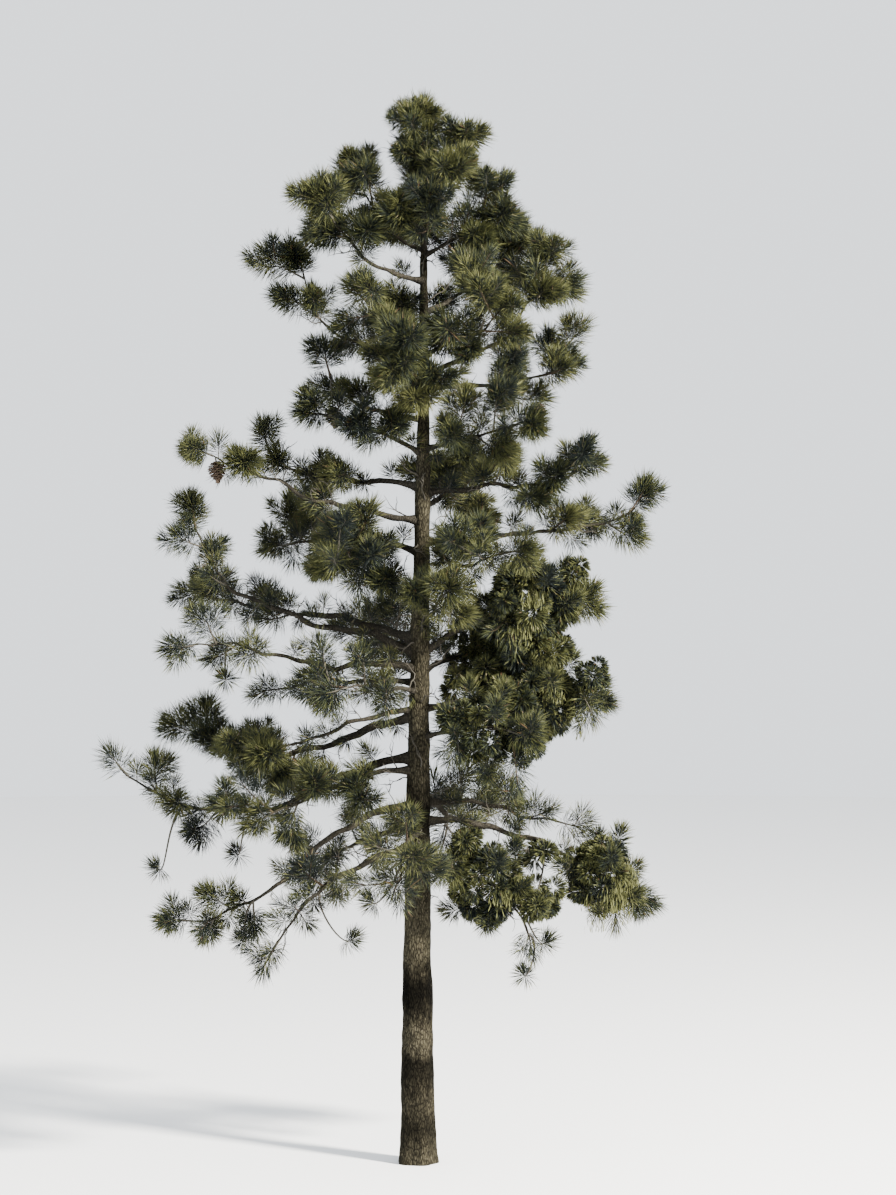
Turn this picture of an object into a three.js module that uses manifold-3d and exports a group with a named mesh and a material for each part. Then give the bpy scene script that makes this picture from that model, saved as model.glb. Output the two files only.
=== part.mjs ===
// A tall long-needled pine: one straight tapering trunk, bare boughs, and masses of needles
// that stand at the boughs' tips or grow from the trunk on stems of their own.
//
// Units are millimetres and +Z is up. The origin is the middle of the trunk's flat cut at ground
// level. An azimuth is counted in degrees from +X, the side with the dense foliage, towards +Y, the
// back. Every mass of needles is grown by one rule: twigs leave its stem at the golden angle, each
// forks once, and each end carries a tuft. A twig that would come too near another mass or a limb
// is tried again, turned and a little longer, and in the end it is left out, so that each mass
// keeps to its own space.

import * as THREE from "three";
import Module from "manifold-3d";

// ---------------------------------------------------------------- driving dimensions

const TRUNK = {
  tip: 9950, // height of its cut tip, inside the topmost mass
  full: 11200, // height at which the taper would reach nothing
  radius: 178, // at ground level, without the flare
  taper: 0.88, // how the radius falls with height: 1 is a cone
  flare: 32, // what the root flare adds at ground level
  flareHeight: 340, // how fast the flare dies away
  lobes: 5, // buttresses of the flare
  lobeDepth: 0.07,
  lean: 64, // how far the upper trunk stands over to +X
  leanFrom: 2500,
  leanTo: 8500,
  rings: 16,
  crowding: 1.7, // how much closer together the rings stand at the flare
  sides: 12,
};

const GAP = 0.3; // between two solids that meet
const CLEAR = 5; // between the spaces of two masses
const FINEST = 3; // the smallest detail that joining leaves in a mass

// A limb's radius is `tip` at its end and grows by `slope` with every millimetre towards its root.
const LIMB = { sides: 5, steps: 6, tip: 6.5, slope: 0.0125, hold: 0.36 };
const STEM = { sides: 4, steps: 4, root: 11, lastSprig: 0.85, firstTwig: 0.4 };
const TWIG = { root: 9, tip: 5, spring: 0.55, fork: 0.45, forkLength: 0.85 };

const TUFT = {
  sides: 3,
  reach: 288, // from the twig's end to the longest needle
  space: 204, // radius of the ball at the twig's end that is kept free of other masses
  apart: 320, // the least distance between two tufts of one mass
  ring: 0.4, // the slim core's radius, as a share of the reach
  front: 0.75, // how far the core stands before the twig's end, and behind it
  back: 0.5,
  crownLean: 14, // how far needles lean out from the twig's line, in degrees: the foremost one,
  frontLean: 52, // the others in front
  backLean: 100, // and those behind
  leanSpread: 10, // how much those angles vary, from the least to the most
  shortest: 0.86, // the shortest needles, as a share of the reach
  lift: 0.2, // how much a twig turns up as it leaves its stem
  turnUp: 0.5, // and how much its tuft turns up from there
};
const DENSE = { ...TUFT, reach: 260, space: 200, lift: -0.25, turnUp: -0.45 };
const CORE = { squash: 0.85, dent: 0.12, space: 1.3, shortest: 1.3, longest: 1.5, shrink: 0.95 };
const CONE = { length: 150, radius: 55, sides: 6, along: 0.8 };

const SEED = 53;
const VIGOUR = 1.05; // how long the twigs grow, against the lengths given below,
const LEAST = 0.8; // and how much one twig differs from another, from this share
const MOST = 1.2; // up to this one
const TRIES = 10;
const STRETCH = 0.05; // how much longer a twig is at each new try
const GOLDEN_ANGLE = Math.PI * (3 - Math.sqrt(5));

const BARK = { color: 0x6f6250, roughness: 0.95, metalness: 0 };
const LIMB_BARK = { color: 0x5b5145, roughness: 0.92, metalness: 0 };
const NEEDLES = { color: 0x4a5430, roughness: 0.7, metalness: 0 };
const DENSE_NEEDLES = { color: 0x3d482b, roughness: 0.75, metalness: 0 };

// A limb runs out in the upright plane at the azimuth `turn`. It leaves the trunk at a height,
// climbing at an angle: `root: [height, climb]`. It ends at a reach from the tree's middle line and
// a height, climbing at an angle: `tip: [reach, height, climb]`.
const BOUGHS = [
  { name: "left_top", turn: 172, root: [9350, 18], tip: [450, 9740, 62] },
  { name: "left_high", turn: 162, root: [7980, 32], tip: [1030, 8650, 32] },
  { name: "left_cone", turn: 187, root: [6580, 6], tip: [1510, 6990, 24] },
  { name: "left_hook", turn: 176, root: [5200, 28], tip: [1680, 5760, 26] },
  { name: "left_level", turn: 204, root: [5050, 14], tip: [1650, 5240, 24] },
  { name: "left_sloping", turn: 188, root: [4650, -4], tip: [1310, 4290, -16] },
  { name: "left_long", turn: 174, root: [4140, 2], tip: [1930, 3580, 4] },
  { name: "left_arched", turn: 188, root: [3650, 4], tip: [1610, 2760, -34] },
  { name: "right_high", turn: 350, root: [8050, 26], tip: [1120, 8730, 64] },
  { name: "right_long", turn: 8, root: [6370, -2], tip: [1000, 6430, 18] },
];

// The stem of a mass goes on from the bough of the same name, or else has a `root` on the trunk.
// `twigs` gives the share of the stem that is bare, the twigs' length, and how many tufts there are
// at most. `core` is the radius of the heart of a dense mass, and `cone` hangs a cone on the stem.
const MASSES = [
  { name: "top", turn: 0, root: [TRUNK.tip, 90], tip: [64, 10710, 90], twigs: [0, 270, 11] },
  { name: "top_right", turn: 350, root: [9700, 45], tip: [450, 10400, 75], twigs: [0.3, 230, 7] },
  { name: "top_front", turn: 284, root: [9350, 40], tip: [480, 9770, 50], twigs: [0.3, 240, 5] },
  { name: "top_back", turn: 85, root: [9150, 35], tip: [680, 9850, 70], twigs: [0.4, 260, 6] },
  { name: "left_top", turn: 170, tip: [610, 10130, 76], twigs: [0, 250, 6] },
  { name: "left_upper", turn: 197, root: [9030, 10], tip: [960, 9780, 74], twigs: [0.45, 230, 7] },
  { name: "left_high", turn: 166, tip: [1230, 9180, 80], twigs: [0, 230, 8] },
  { name: "left_veil", turn: 222, root: [8500, 25], tip: [800, 8850, 40], twigs: [0.3, 260, 6] },
  { name: "left_knee", turn: 175, root: [7620, 2], tip: [950, 8240, 84], twigs: [0.35, 200, 6], cone: true },
  { name: "left_fore", turn: 210, root: [7250, 25], tip: [1200, 7640, 4], twigs: [0.2, 240, 7] },
  { name: "left_straight", turn: 166, root: [6900, 22], tip: [1640, 7450, 76], twigs: [0.25, 220, 9] },
  { name: "left_cone", turn: 187, tip: [2200, 7270, 16], twigs: [0.2, 180, 6], cone: true },
  { name: "left_rear", turn: 142, root: [6250, 10], tip: [1950, 6330, -10], twigs: [0.35, 260, 8] },
  { name: "left_heart", turn: 206, root: [5660, 48], tip: [1000, 6100, -8], twigs: [0.25, 330, 11] },
  { name: "left_hook", turn: 178, tip: [2310, 6660, 84], twigs: [0.2, 190, 9] },
  { name: "left_outer", turn: 153, root: [5350, 18], tip: [2740, 5850, 14], twigs: [0.5, 230, 8] },
  { name: "left_level", turn: 203, tip: [2540, 5290, -6], twigs: [0, 220, 8] },
  { name: "left_mid", turn: 168, root: [4900, 10], tip: [1580, 4830, -10], twigs: [0.4, 230, 6] },
  { name: "left_inner", turn: 228, root: [4800, 15], tip: [1250, 4850, -10], twigs: [0.25, 260, 7] },
  { name: "left_sloping", turn: 190, tip: [1830, 4280, 20], twigs: [0, 250, 8] },
  { name: "left_raised", turn: 152, root: [4590, -14], tip: [2560, 4540, 84], twigs: [0.4, 240, 9] },
  { name: "left_long", turn: 176, tip: [3120, 4090, 52], twigs: [0, 200, 9] },
  { name: "left_heavy", turn: 208, root: [4020, 6], tip: [1800, 3560, -18], twigs: [0.25, 270, 10] },
  { name: "left_arched", turn: 184, tip: [2450, 2500, 10], twigs: [0, 210, 8] },
  { name: "left_skirt", turn: 150, root: [3400, 0], tip: [1450, 2900, -30], twigs: [0.2, 260, 8] },
  { name: "left_hanging", turn: 214, root: [3250, -6], tip: [1790, 2180, -60], twigs: [0.3, 210, 8] },
  { name: "right_upper", turn: 355, root: [9300, 20], tip: [710, 9930, 80], twigs: [0.3, 240, 7] },
  { name: "right_twin", turn: 35, root: [8700, 32], tip: [1080, 9400, 66], twigs: [0.35, 260, 8] },
  { name: "right_high", turn: 352, tip: [1330, 9210, 80], twigs: [0, 230, 9] },
  { name: "right_veil", turn: 318, root: [8250, 25], tip: [1150, 8680, 40], twigs: [0.25, 300, 9] },
  { name: "right_cone", turn: 26, root: [7930, 8], tip: [1700, 8200, 24], twigs: [0.3, 280, 10], cone: true },
  { name: "right_fore", turn: 328, root: [7300, 16], tip: [1280, 7560, 20], twigs: [0.25, 290, 9] },
  { name: "right_mid", turn: 354, root: [6850, 14], tip: [1730, 7120, 30], twigs: [0.35, 250, 8] },
  { name: "right_long", turn: 8, tip: [2330, 6830, 66], twigs: [0.15, 220, 8] },
  { name: "right_inner", turn: 318, root: [5900, 30], tip: [1350, 6250, 10], twigs: [0.25, 270, 8] },
  { name: "right_shoulder", turn: 354, root: [5200, 34], tip: [1720, 5720, -20],
    twigs: [0.35, 350, 5], core: 400 },
  { name: "right_rear", turn: 45, root: [5000, 25], tip: [1500, 5300, 0],
    twigs: [0.2, 330, 5], core: 330 },
  { name: "right_heart", turn: 2, root: [4650, 6], tip: [1830, 4740, -14],
    twigs: [0.4, 380, 5], core: 440 },
  { name: "right_under", turn: 326, root: [4350, 12], tip: [1300, 4400, -20],
    twigs: [0.2, 320, 5], core: 340 },
  { name: "right_low", turn: 20, root: [3700, 2], tip: [1750, 3400, -12], twigs: [0.4, 180, 6] },
  { name: "right_outer", turn: 6, root: [3500, 4], tip: [2330, 2700, -30],
    twigs: [0.6, 340, 5], core: 400 },
  { name: "right_skirt", turn: 345, root: [3000, 20], tip: [1190, 2300, -80],
    twigs: [0, 320, 5], core: 330 },
  { name: "front_high", turn: 268, root: [7700, 38], tip: [900, 8200, 30], twigs: [0.2, 330, 10] },
  { name: "front_mid", turn: 287, root: [5450, 36], tip: [1050, 5850, 20], twigs: [0.35, 230, 6] },
  { name: "front_low", turn: 262, root: [3350, 20], tip: [1450, 2950, -20], twigs: [0.35, 260, 8] },
  { name: "back_high", turn: 105, root: [8200, 32], tip: [1250, 8900, 66], twigs: [0.25, 300, 9] },
  { name: "back_mid", turn: 72, root: [6700, 20], tip: [1850, 7150, 40], twigs: [0.3, 320, 10] },
  { name: "back_low", turn: 104, root: [5300, 10], tip: [2150, 5300, 10], twigs: [0.3, 340, 11] },
  { name: "back_foot", turn: 72, root: [3700, -4], tip: [2100, 3350, 0], twigs: [0.3, 340, 11] },
];

// ---------------------------------------------------------------- small helpers

const UP = new THREE.Vector3(0, 0, 1);
const DOWN = new THREE.Vector3(0, 0, -1);
const { clamp, degToRad: radians, lerp, smoothstep } = THREE.MathUtils;

/** A stream of numbers from 0 to 1 that is the same on every run. */
function seeded(seed) {
  let state = Math.imul(seed + 1000 * SEED, 2654435761) >>> 0;
  return () => {
    state = (Math.imul(state, 1664525) + 1013904223) >>> 0;
    return state / 4294967296;
  };
}

/** The unit vector that points along an azimuth and climbs at an angle, in degrees. */
function heading(turn, climb) {
  const a = radians(turn);
  const e = radians(climb);
  return new THREE.Vector3(Math.cos(a) * Math.cos(e), Math.sin(a) * Math.cos(e), Math.sin(e));
}

function trunkAxis(height) {
  const lean = TRUNK.lean * smoothstep(height, TRUNK.leanFrom, TRUNK.leanTo);
  return new THREE.Vector3(lean, 0, height);
}

function trunkRadius(height) {
  return (
    TRUNK.radius * (1 - height / TRUNK.full) ** TRUNK.taper +
    TRUNK.flare * Math.exp(-height / TRUNK.flareHeight)
  );
}

/** Two unit vectors across a direction: one level, one as steep as it can be. */
function across(direction) {
  const steep = Math.abs(direction.z) > 0.999;
  const level = new THREE.Vector3().crossVectors(direction, steep ? new THREE.Vector3(0, 1, 0) : UP);
  level.normalize();
  return [level, new THREE.Vector3().crossVectors(level, direction).normalize()];
}

/** A limb's middle line: it leaves `from` along `start` and arrives at `to` along `end`. */
function limbLine(from, start, to, end) {
  const hold = from.distanceTo(to) * LIMB.hold;
  return new THREE.CubicBezierCurve3(
    from,
    from.clone().addScaledVector(start, hold),
    to.clone().addScaledVector(end, -hold),
    to,
  );
}

// ---------------------------------------------------------------- closed surfaces

/** A surface from its corners, as vectors, and the corners of each face. */
function surface(points, faces) {
  const positions = points.flatMap((point) => point.toArray());
  return new THREE.BufferGeometry()
    .setAttribute("position", new THREE.Float32BufferAttribute(positions, 3))
    .setIndex(faces);
}

/** A ring of points round `centre`, in the plane of the unit vectors `u` and `v`. */
function ringOf(centre, u, v, radius, sides) {
  return Array.from({ length: sides }, (_, s) => onRing(centre, u, v, radius, (2 * Math.PI * s) / sides));
}

function onRing(centre, u, v, radius, turn) {
  return centre
    .clone()
    .addScaledVector(u, radius * Math.cos(turn))
    .addScaledVector(v, radius * Math.sin(turn));
}

/** A closed surface from rings of equal length, each a list of points, with flat ends. */
function skinRings(rings) {
  const sides = rings[0].length;
  const faces = [];
  for (let r = 0; r + 1 < rings.length; r++)
    for (let s = 0; s < sides; s++) {
      const a = r * sides + s;
      const b = r * sides + ((s + 1) % sides);
      faces.push(a, b, b + sides, a, b + sides, a + sides);
    }
  const last = (rings.length - 1) * sides;
  for (let s = 1; s + 1 < sides; s++) {
    faces.push(0, s + 1, s);
    faces.push(last, last + s, last + s + 1);
  }
  return surface(rings.flat(), faces);
}

/** A round tube along a curve, whose radius goes evenly from `rootRadius` to `tipRadius`. */
function taperedTube(line, rootRadius, tipRadius, sides, steps) {
  const frames = line.computeFrenetFrames(steps, false);
  const rings = [];
  for (let i = 0; i <= steps; i++) {
    const centre = line.getPointAt(i / steps);
    const radius = lerp(rootRadius, tipRadius, i / steps);
    rings.push(ringOf(centre, frames.normals[i], frames.binormals[i], radius, sides));
  }
  return skinRings(rings);
}

/** The trunk's surface, stood off outwards by `offset`. */
function trunkSurface(offset) {
  const rings = [];
  for (let i = 0; i <= TRUNK.rings; i++) {
    const height = TRUNK.tip * (i / TRUNK.rings) ** TRUNK.crowding;
    const centre = trunkAxis(height);
    const ring = [];
    for (let s = 0; s < TRUNK.sides; s++) {
      const turn = (2 * Math.PI * s) / TRUNK.sides;
      const fade = Math.exp(-height / TRUNK.flareHeight);
      const lobe = TRUNK.lobeDepth * Math.cos(TRUNK.lobes * turn) * fade;
      const radius = trunkRadius(height) * (1 + lobe) + offset;
      const out = new THREE.Vector3(Math.cos(turn), Math.sin(turn), 0);
      ring.push(centre.clone().addScaledVector(out, radius));
    }
    rings.push(ring);
  }
  return skinRings(rings);
}

/**
 * A twig and its tuft as one closed surface: a three-sided twig that swells into a slim core, from
 * each of whose faces needles stand out, in a cup that opens along `axis`.
 */
function sprigSurface(from, to, axis, reach, random) {
  const direction = new THREE.Vector3().subVectors(to, from).normalize();
  const bend = new THREE.Quaternion().setFromUnitVectors(direction, axis);
  const [level, steep] = across(direction);
  const [u, v] = [level, steep].map((side) => side.clone().applyQuaternion(bend));
  const n = TUFT.sides;
  const neck = to.clone().addScaledVector(axis, -TUFT.back * reach);
  const points = [
    ...ringOf(from, level, steep, TWIG.root, n),
    ...ringOf(neck, u, v, TWIG.tip, n),
    ...ringOf(to, u, v, TUFT.ring * reach, n),
    to.clone().addScaledVector(axis, TUFT.front * reach),
  ];
  const front = points.length - 1;
  const faces = [0, 2, 1];

  /** Draws a face out to a point, which leans out from the axis. */
  const stand = (corners, turn, lean) => {
    const tilt = radians(lean + TUFT.leanSpread * (random() - 0.5));
    const long = reach * lerp(TUFT.shortest, 1, random());
    const along = to.clone().addScaledVector(axis, long * Math.cos(tilt));
    const tip = points.push(onRing(along, u, v, long * Math.sin(tilt), turn)) - 1;
    corners.forEach((corner, i) => faces.push(corner, corners[(i + 1) % corners.length], tip));
  };
  for (let s = 0; s < n; s++) {
    const t = (s + 1) % n;
    const turn = (2 * Math.PI * (s + 0.5)) / n;
    faces.push(s, t, n + t, s, n + t, n + s);
    stand([n + s, n + t, 2 * n + t, 2 * n + s], turn, TUFT.backLean);
    stand([2 * n + s, 2 * n + t, front], turn, s === 0 ? TUFT.crownLean : TUFT.frontLean);
  }
  return surface(points, faces);
}

/** The heart of a dense mass: a lumpy ball with needles on every other face. */
function coreSurface(centre, radius, random) {
  const ball = new THREE.IcosahedronGeometry(1, 1).getAttribute("position");
  const known = new Map();
  const points = [];
  const faces = [];
  const addPoint = ({ x, y, z }, long) => {
    const direction = new THREE.Vector3(x, y, z * CORE.squash);
    return points.push(direction.multiplyScalar(radius * long).add(centre)) - 1;
  };
  for (let i = 0; i < ball.count; i += 3) {
    const directions = [0, 1, 2].map((k) => new THREE.Vector3().fromBufferAttribute(ball, i + k));
    const corners = directions.map((direction) => {
      const key = direction.toArray().map((v) => v.toFixed(3)).join();
      if (!known.has(key)) known.set(key, addPoint(direction, 1 - CORE.dent * random()));
      return known.get(key);
    });
    if (i % 6 === 0) {
      faces.push(...corners);
      continue;
    }
    const [a, b, c] = directions;
    const tip = addPoint(a.add(b).add(c).normalize(), lerp(CORE.shortest, CORE.longest, random()));
    corners.forEach((corner, k) => faces.push(corner, corners[(k + 1) % 3], tip));
  }
  return surface(points, faces);
}

/** A seed cone that hangs down from `top`. */
function coneSurface(top) {
  const [level, steep] = across(DOWN);
  const profile = [
    [0.3, 0],
    [1, 0.3],
    [0.85, 0.62],
    [0.25, 1],
  ];
  const rings = profile.map(([out, along]) => {
    const centre = top.clone().addScaledVector(DOWN, along * CONE.length);
    return ringOf(centre, level, steep, out * CONE.radius, CONE.sides);
  });
  return skinRings(rings);
}

// ---------------------------------------------------------------- joining and cutting

const wasm = await Module();
wasm.setup();

/** The solid inside a closed surface, whichever way its faces turn. */
function solid(geometry) {
  const made = new wasm.Manifold(
    new wasm.Mesh({
      numProp: 3,
      vertProperties: new Float32Array(geometry.getAttribute("position").array),
      triVerts: new Uint32Array(geometry.index.array),
    }),
  );
  if (made.volume() > 0) return made;
  return solid(geometry.setIndex([...geometry.index.array].reverse()));
}

/** The largest body of a solid: loose scraps and sealed hollows are left out. */
function largest(made) {
  return made.decompose().reduce((best, body) => (body.volume() > best.volume() ? body : best));
}

/** A named mesh whose own origin is `place`. */
function meshOf(name, made, place, material) {
  const { numVert, numProp, vertProperties, triVerts } = made.getMesh();
  const positions = new Float32Array(numVert * 3);
  for (let i = 0; i < numVert; i++)
    for (let k = 0; k < 3; k++)
      positions[i * 3 + k] = vertProperties[i * numProp + k] - place.getComponent(k);
  const geometry = new THREE.BufferGeometry()
    .setAttribute("position", new THREE.BufferAttribute(positions, 3))
    .setIndex([...triVerts]);
  geometry.computeVertexNormals();
  const mesh = new THREE.Mesh(geometry, new THREE.MeshStandardMaterial(material));
  mesh.name = name;
  mesh.position.copy(place);
  return mesh;
}

// ---------------------------------------------------------------- who holds which space

const claims = []; // round-ended rods: { a, b, radius, owner }

/** The least distance between the middle lines of two rods. */
function rodDistance(p, q) {
  const along = new THREE.Vector3().subVectors(p.b, p.a);
  const other = new THREE.Vector3().subVectors(q.b, q.a);
  const between = new THREE.Vector3().subVectors(p.a, q.a);
  const a = Math.max(along.lengthSq(), 1e-9);
  const e = Math.max(other.lengthSq(), 1e-9);
  const b = along.dot(other);
  const c = along.dot(between);
  const f = other.dot(between);
  const slant = a * e - b * b;
  const start = slant > 1e-6 * a * e ? clamp((b * f - c * e) / slant, 0, 1) : 0;
  const t = clamp((b * start + f) / e, 0, 1);
  const s = clamp((b * t - c) / a, 0, 1);
  return between.addScaledVector(along, s).addScaledVector(other, -t).length();
}

function isClear(rod) {
  return claims.every(
    (other) =>
      other.owner === rod.owner ||
      rodDistance(rod, other) >= rod.radius + other.radius + CLEAR,
  );
}

/** Claims the space along a line for its owner. */
function claimLine(line, steps, radius, owner) {
  for (let i = 0; i < steps; i++)
    claims.push({ a: line.getPoint(i / steps), b: line.getPoint((i + 1) / steps), radius, owner });
}

/** Claims a ball of space. */
function claimBall(centre, radius, owner) {
  claims.push({ a: centre, b: centre, radius, owner });
}

// ---------------------------------------------------------------- trunk and boughs

const tree = new THREE.Group();
const trunkSleeve = solid(trunkSurface(GAP));
tree.add(meshOf("trunk", solid(trunkSurface(0)), new THREE.Vector3(), BARK));
for (let i = 0; i < TRUNK.rings; i++) {
  const [low, high] = [i, i + 1].map((k) => (TRUNK.tip * k) / TRUNK.rings);
  claims.push({ a: trunkAxis(low), b: trunkAxis(high), radius: trunkRadius(low), owner: "trunk" });
}

function tipOf({ turn, tip: [reach, height] }) {
  return heading(turn, 0).multiplyScalar(reach).setZ(height);
}

/** A limb's line from the trunk's axis. */
function lineFromTrunk(limb) {
  const [rootHeight, leave] = limb.root;
  const arrive = limb.tip[2];
  return limbLine(
    trunkAxis(rootHeight),
    heading(limb.turn, leave),
    tipOf(limb),
    heading(limb.turn, arrive),
  );
}

/** Where a limb comes out of the trunk. */
function socketOf({ turn, root: [height] }) {
  return trunkAxis(height).addScaledVector(heading(turn, 0), trunkRadius(height));
}

const boughs = new Map();
for (const bough of BOUGHS) {
  const line = lineFromTrunk(bough);
  const mass = MASSES.find(({ name }) => name === bough.name);
  const tipRadius = LIMB.tip + LIMB.slope * tipOf(bough).distanceTo(tipOf(mass));
  const rootRadius = tipRadius + LIMB.slope * line.getLength();
  const tube = solid(taperedTube(line, rootRadius, tipRadius, LIMB.sides, LIMB.steps));
  const limb = largest(tube.subtract(trunkSleeve));
  claimLine(line, LIMB.steps, rootRadius, bough.name);
  boughs.set(bough.name, { line, tipRadius });
  tree.add(meshOf(`bough_${bough.name}`, limb, socketOf(bough), LIMB_BARK));
}

// ---------------------------------------------------------------- masses of needles

/** The stem of a mass: its line, its radius at the root, and where the mass has its origin. */
function stemOf(mass) {
  const bough = boughs.get(mass.name);
  if (bough) {
    const along = bough.line.getTangent(1);
    const origin = bough.line.getPoint(1).addScaledVector(along, GAP);
    const line = limbLine(origin, along, tipOf(mass), heading(mass.turn, mass.tip[2]));
    return { line, radius: bough.tipRadius, origin };
  }
  if (mass.root[0] === TRUNK.tip) {
    const origin = trunkAxis(TRUNK.tip + GAP);
    return { line: limbLine(origin, UP, tipOf(mass), UP), radius: trunkRadius(TRUNK.tip), origin };
  }
  const line = lineFromTrunk(mass);
  return { line, radius: STEM.root + LIMB.slope * line.getLength(), origin: socketOf(mass) };
}

/** Grows one mass on its stem, and returns its mesh. */
function growMass({ mass, stem, owner, core }, index) {
  const random = seeded(index + 1);
  const shape = seeded(index + 101);
  const kind = core ? DENSE : TUFT;
  const pieces = [solid(taperedTube(stem.line, stem.radius, LIMB.tip, STEM.sides, STEM.steps))];

  const tufts = [];
  const addSprig = (from, to, axis) => {
    tufts.push(to);
    claimBall(to, kind.space, owner);
    claims.push({ a: from, b: to, radius: TWIG.root, owner });
    pieces.push(solid(sprigSurface(from, to, axis, kind.reach, shape)));
  };

  /** Lets a sprig leave `root`, out from the line `along`, and says where it went. */
  const sprout = (root, along, firstTurn, length) => {
    const [level, steep] = across(along);
    for (let attempt = 0; attempt < TRIES; attempt++) {
      const turn = firstTurn + attempt * GOLDEN_ANGLE;
      const direction = onRing(new THREE.Vector3(), level, steep, 1, turn)
        .addScaledVector(along, TWIG.spring)
        .addScaledVector(UP, kind.lift)
        .normalize();
      const end = root.clone().addScaledVector(direction, length * (1 + STRETCH * attempt));
      if (tufts.some((other) => other.distanceTo(end) < kind.apart)) continue;
      if (!isClear({ a: end, b: end, radius: kind.space, owner })) continue;
      if (!isClear({ a: root, b: end, radius: TWIG.root, owner })) continue;
      addSprig(root, end, direction.clone().addScaledVector(UP, kind.turnUp).normalize());
      return { direction, fork: root.clone().lerp(end, TWIG.fork) };
    }
    return null;
  };

  const { line } = stem;
  const [bare, length, most] = mass.twigs;
  const twigs = Math.ceil((most - 1) / 2);
  addSprig(line.getPoint(STEM.lastSprig), line.getPoint(1), line.getTangent(1));
  for (let k = 0; k < twigs; k++) {
    const share = bare + ((1 - bare) * (k + STEM.firstTwig)) / twigs;
    const turn = k * GOLDEN_ANGLE + 2 * Math.PI * random();
    const long = VIGOUR * length * lerp(LEAST, MOST, random());
    const forkTurn = 2 * Math.PI * random();
    const twig = sprout(line.getPoint(share), line.getTangent(share), turn, long);
    if (twig) sprout(twig.fork, twig.direction, forkTurn, long * TWIG.forkLength);
  }

  if (core) pieces.push(solid(coreSurface(core.a, core.radius / CORE.space, shape)));
  if (mass.cone) pieces.push(solid(coneSurface(line.getPoint(CONE.along))));
  const whole = wasm.Manifold.union(pieces).simplify(FINEST).subtract(trunkSleeve);
  return meshOf(owner, largest(whole), stem.origin, core ? DENSE_NEEDLES : NEEDLES);
}

// All stems claim their space first, then the hearts of the dense masses, then twig by twig.
const stems = MASSES.map((mass) => {
  const stem = stemOf(mass);
  const owner = `needles_${mass.name}`;
  claimLine(stem.line, STEM.steps, stem.radius, owner);
  claimBall(stem.line.getPoint(1), TUFT.space, owner);
  return { mass, stem, owner };
});
for (const grown of stems.filter(({ mass }) => mass.core)) {
  const { mass, stem, owner } = grown;
  const heart = stem.line.getPoint((1 + mass.twigs[0]) / 2);
  grown.core = { a: heart, b: heart, radius: mass.core * CORE.space, owner };
  while (!isClear(grown.core)) grown.core.radius *= CORE.shrink;
  claims.push(grown.core);
}
stems.forEach((grown, index) => tree.add(growMass(grown, index)));

export default tree;
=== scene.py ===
# %% [markdown]
# # A tall long-needled pine
#
# This lesson dresses a pine tree. Its plain solids come from a CAD program: a trunk, ten boughs and
# forty-nine masses of needles. Here each one is replaced by what a real pine has in its place: bark
# with relief, limbs that bend and swell, fine twigs, cones, and needles in full brushes. Every
# length is in metres, +Z is up, and the front of the tree faces -Y.

# %% Loading the solids
import math

import bpy
import numpy as np
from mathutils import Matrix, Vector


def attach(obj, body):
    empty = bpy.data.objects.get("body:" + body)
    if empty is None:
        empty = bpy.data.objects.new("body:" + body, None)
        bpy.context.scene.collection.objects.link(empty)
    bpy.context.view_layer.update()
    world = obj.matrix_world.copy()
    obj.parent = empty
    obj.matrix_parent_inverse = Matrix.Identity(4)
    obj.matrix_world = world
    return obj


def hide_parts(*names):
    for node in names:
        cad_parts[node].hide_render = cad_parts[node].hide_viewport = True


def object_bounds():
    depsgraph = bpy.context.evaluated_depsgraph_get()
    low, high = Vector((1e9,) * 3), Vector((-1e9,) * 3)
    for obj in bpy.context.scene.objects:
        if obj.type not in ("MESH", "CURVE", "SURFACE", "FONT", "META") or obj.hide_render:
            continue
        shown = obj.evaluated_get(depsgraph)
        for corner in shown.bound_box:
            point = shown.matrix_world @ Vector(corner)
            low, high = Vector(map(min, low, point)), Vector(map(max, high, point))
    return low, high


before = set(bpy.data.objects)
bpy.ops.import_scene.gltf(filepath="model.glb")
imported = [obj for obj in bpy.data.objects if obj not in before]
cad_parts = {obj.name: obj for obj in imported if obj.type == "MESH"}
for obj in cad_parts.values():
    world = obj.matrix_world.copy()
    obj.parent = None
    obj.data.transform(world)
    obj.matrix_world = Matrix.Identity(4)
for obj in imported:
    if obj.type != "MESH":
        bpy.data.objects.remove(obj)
cad_box = [list(corner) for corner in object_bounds()]
print("The solids reach from", cad_box[0], "to", cad_box[1])

# %% [markdown]
# The tree is looked at level, from far away, so that the trunk doesn't seem to lean back and the
# boughs in front aren't drawn much larger than those behind. A long lens then brings the tree
# close. A short lens close by would need no long walk, but it would bend the tree's proportions.

# %% The camera
DISTANCE, ASIDE, EYE_HEIGHT = 32.0, 0.313, 5.79
VIEW_HEIGHT = 12.25  # how much height the picture takes in, at the tree
SENSOR = 36.0  # millimetres

bpy.ops.object.camera_add(
    location=(ASIDE, -DISTANCE, EYE_HEIGHT), rotation=(math.radians(90), 0, 0)
)
camera = bpy.context.object
camera.name = "camera"
camera.data.lens = SENSOR * DISTANCE / VIEW_HEIGHT
bpy.context.scene.camera = camera
print("The lens is", round(camera.data.lens), "mm")

# %% [markdown]
# ## The rule of growth
#
# The solids were grown by a rule, and the detail has to grow from the same twigs, so the rule is
# written again here. First come its numbers: the trunk's taper, flare and lean, then the limbs,
# twigs and tufts. A limb runs in the upright plane at one azimuth, `turn`, counted from +X to +Y.
# It leaves the trunk at a height and a slope, and ends at a reach, a height and a slope.

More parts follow.
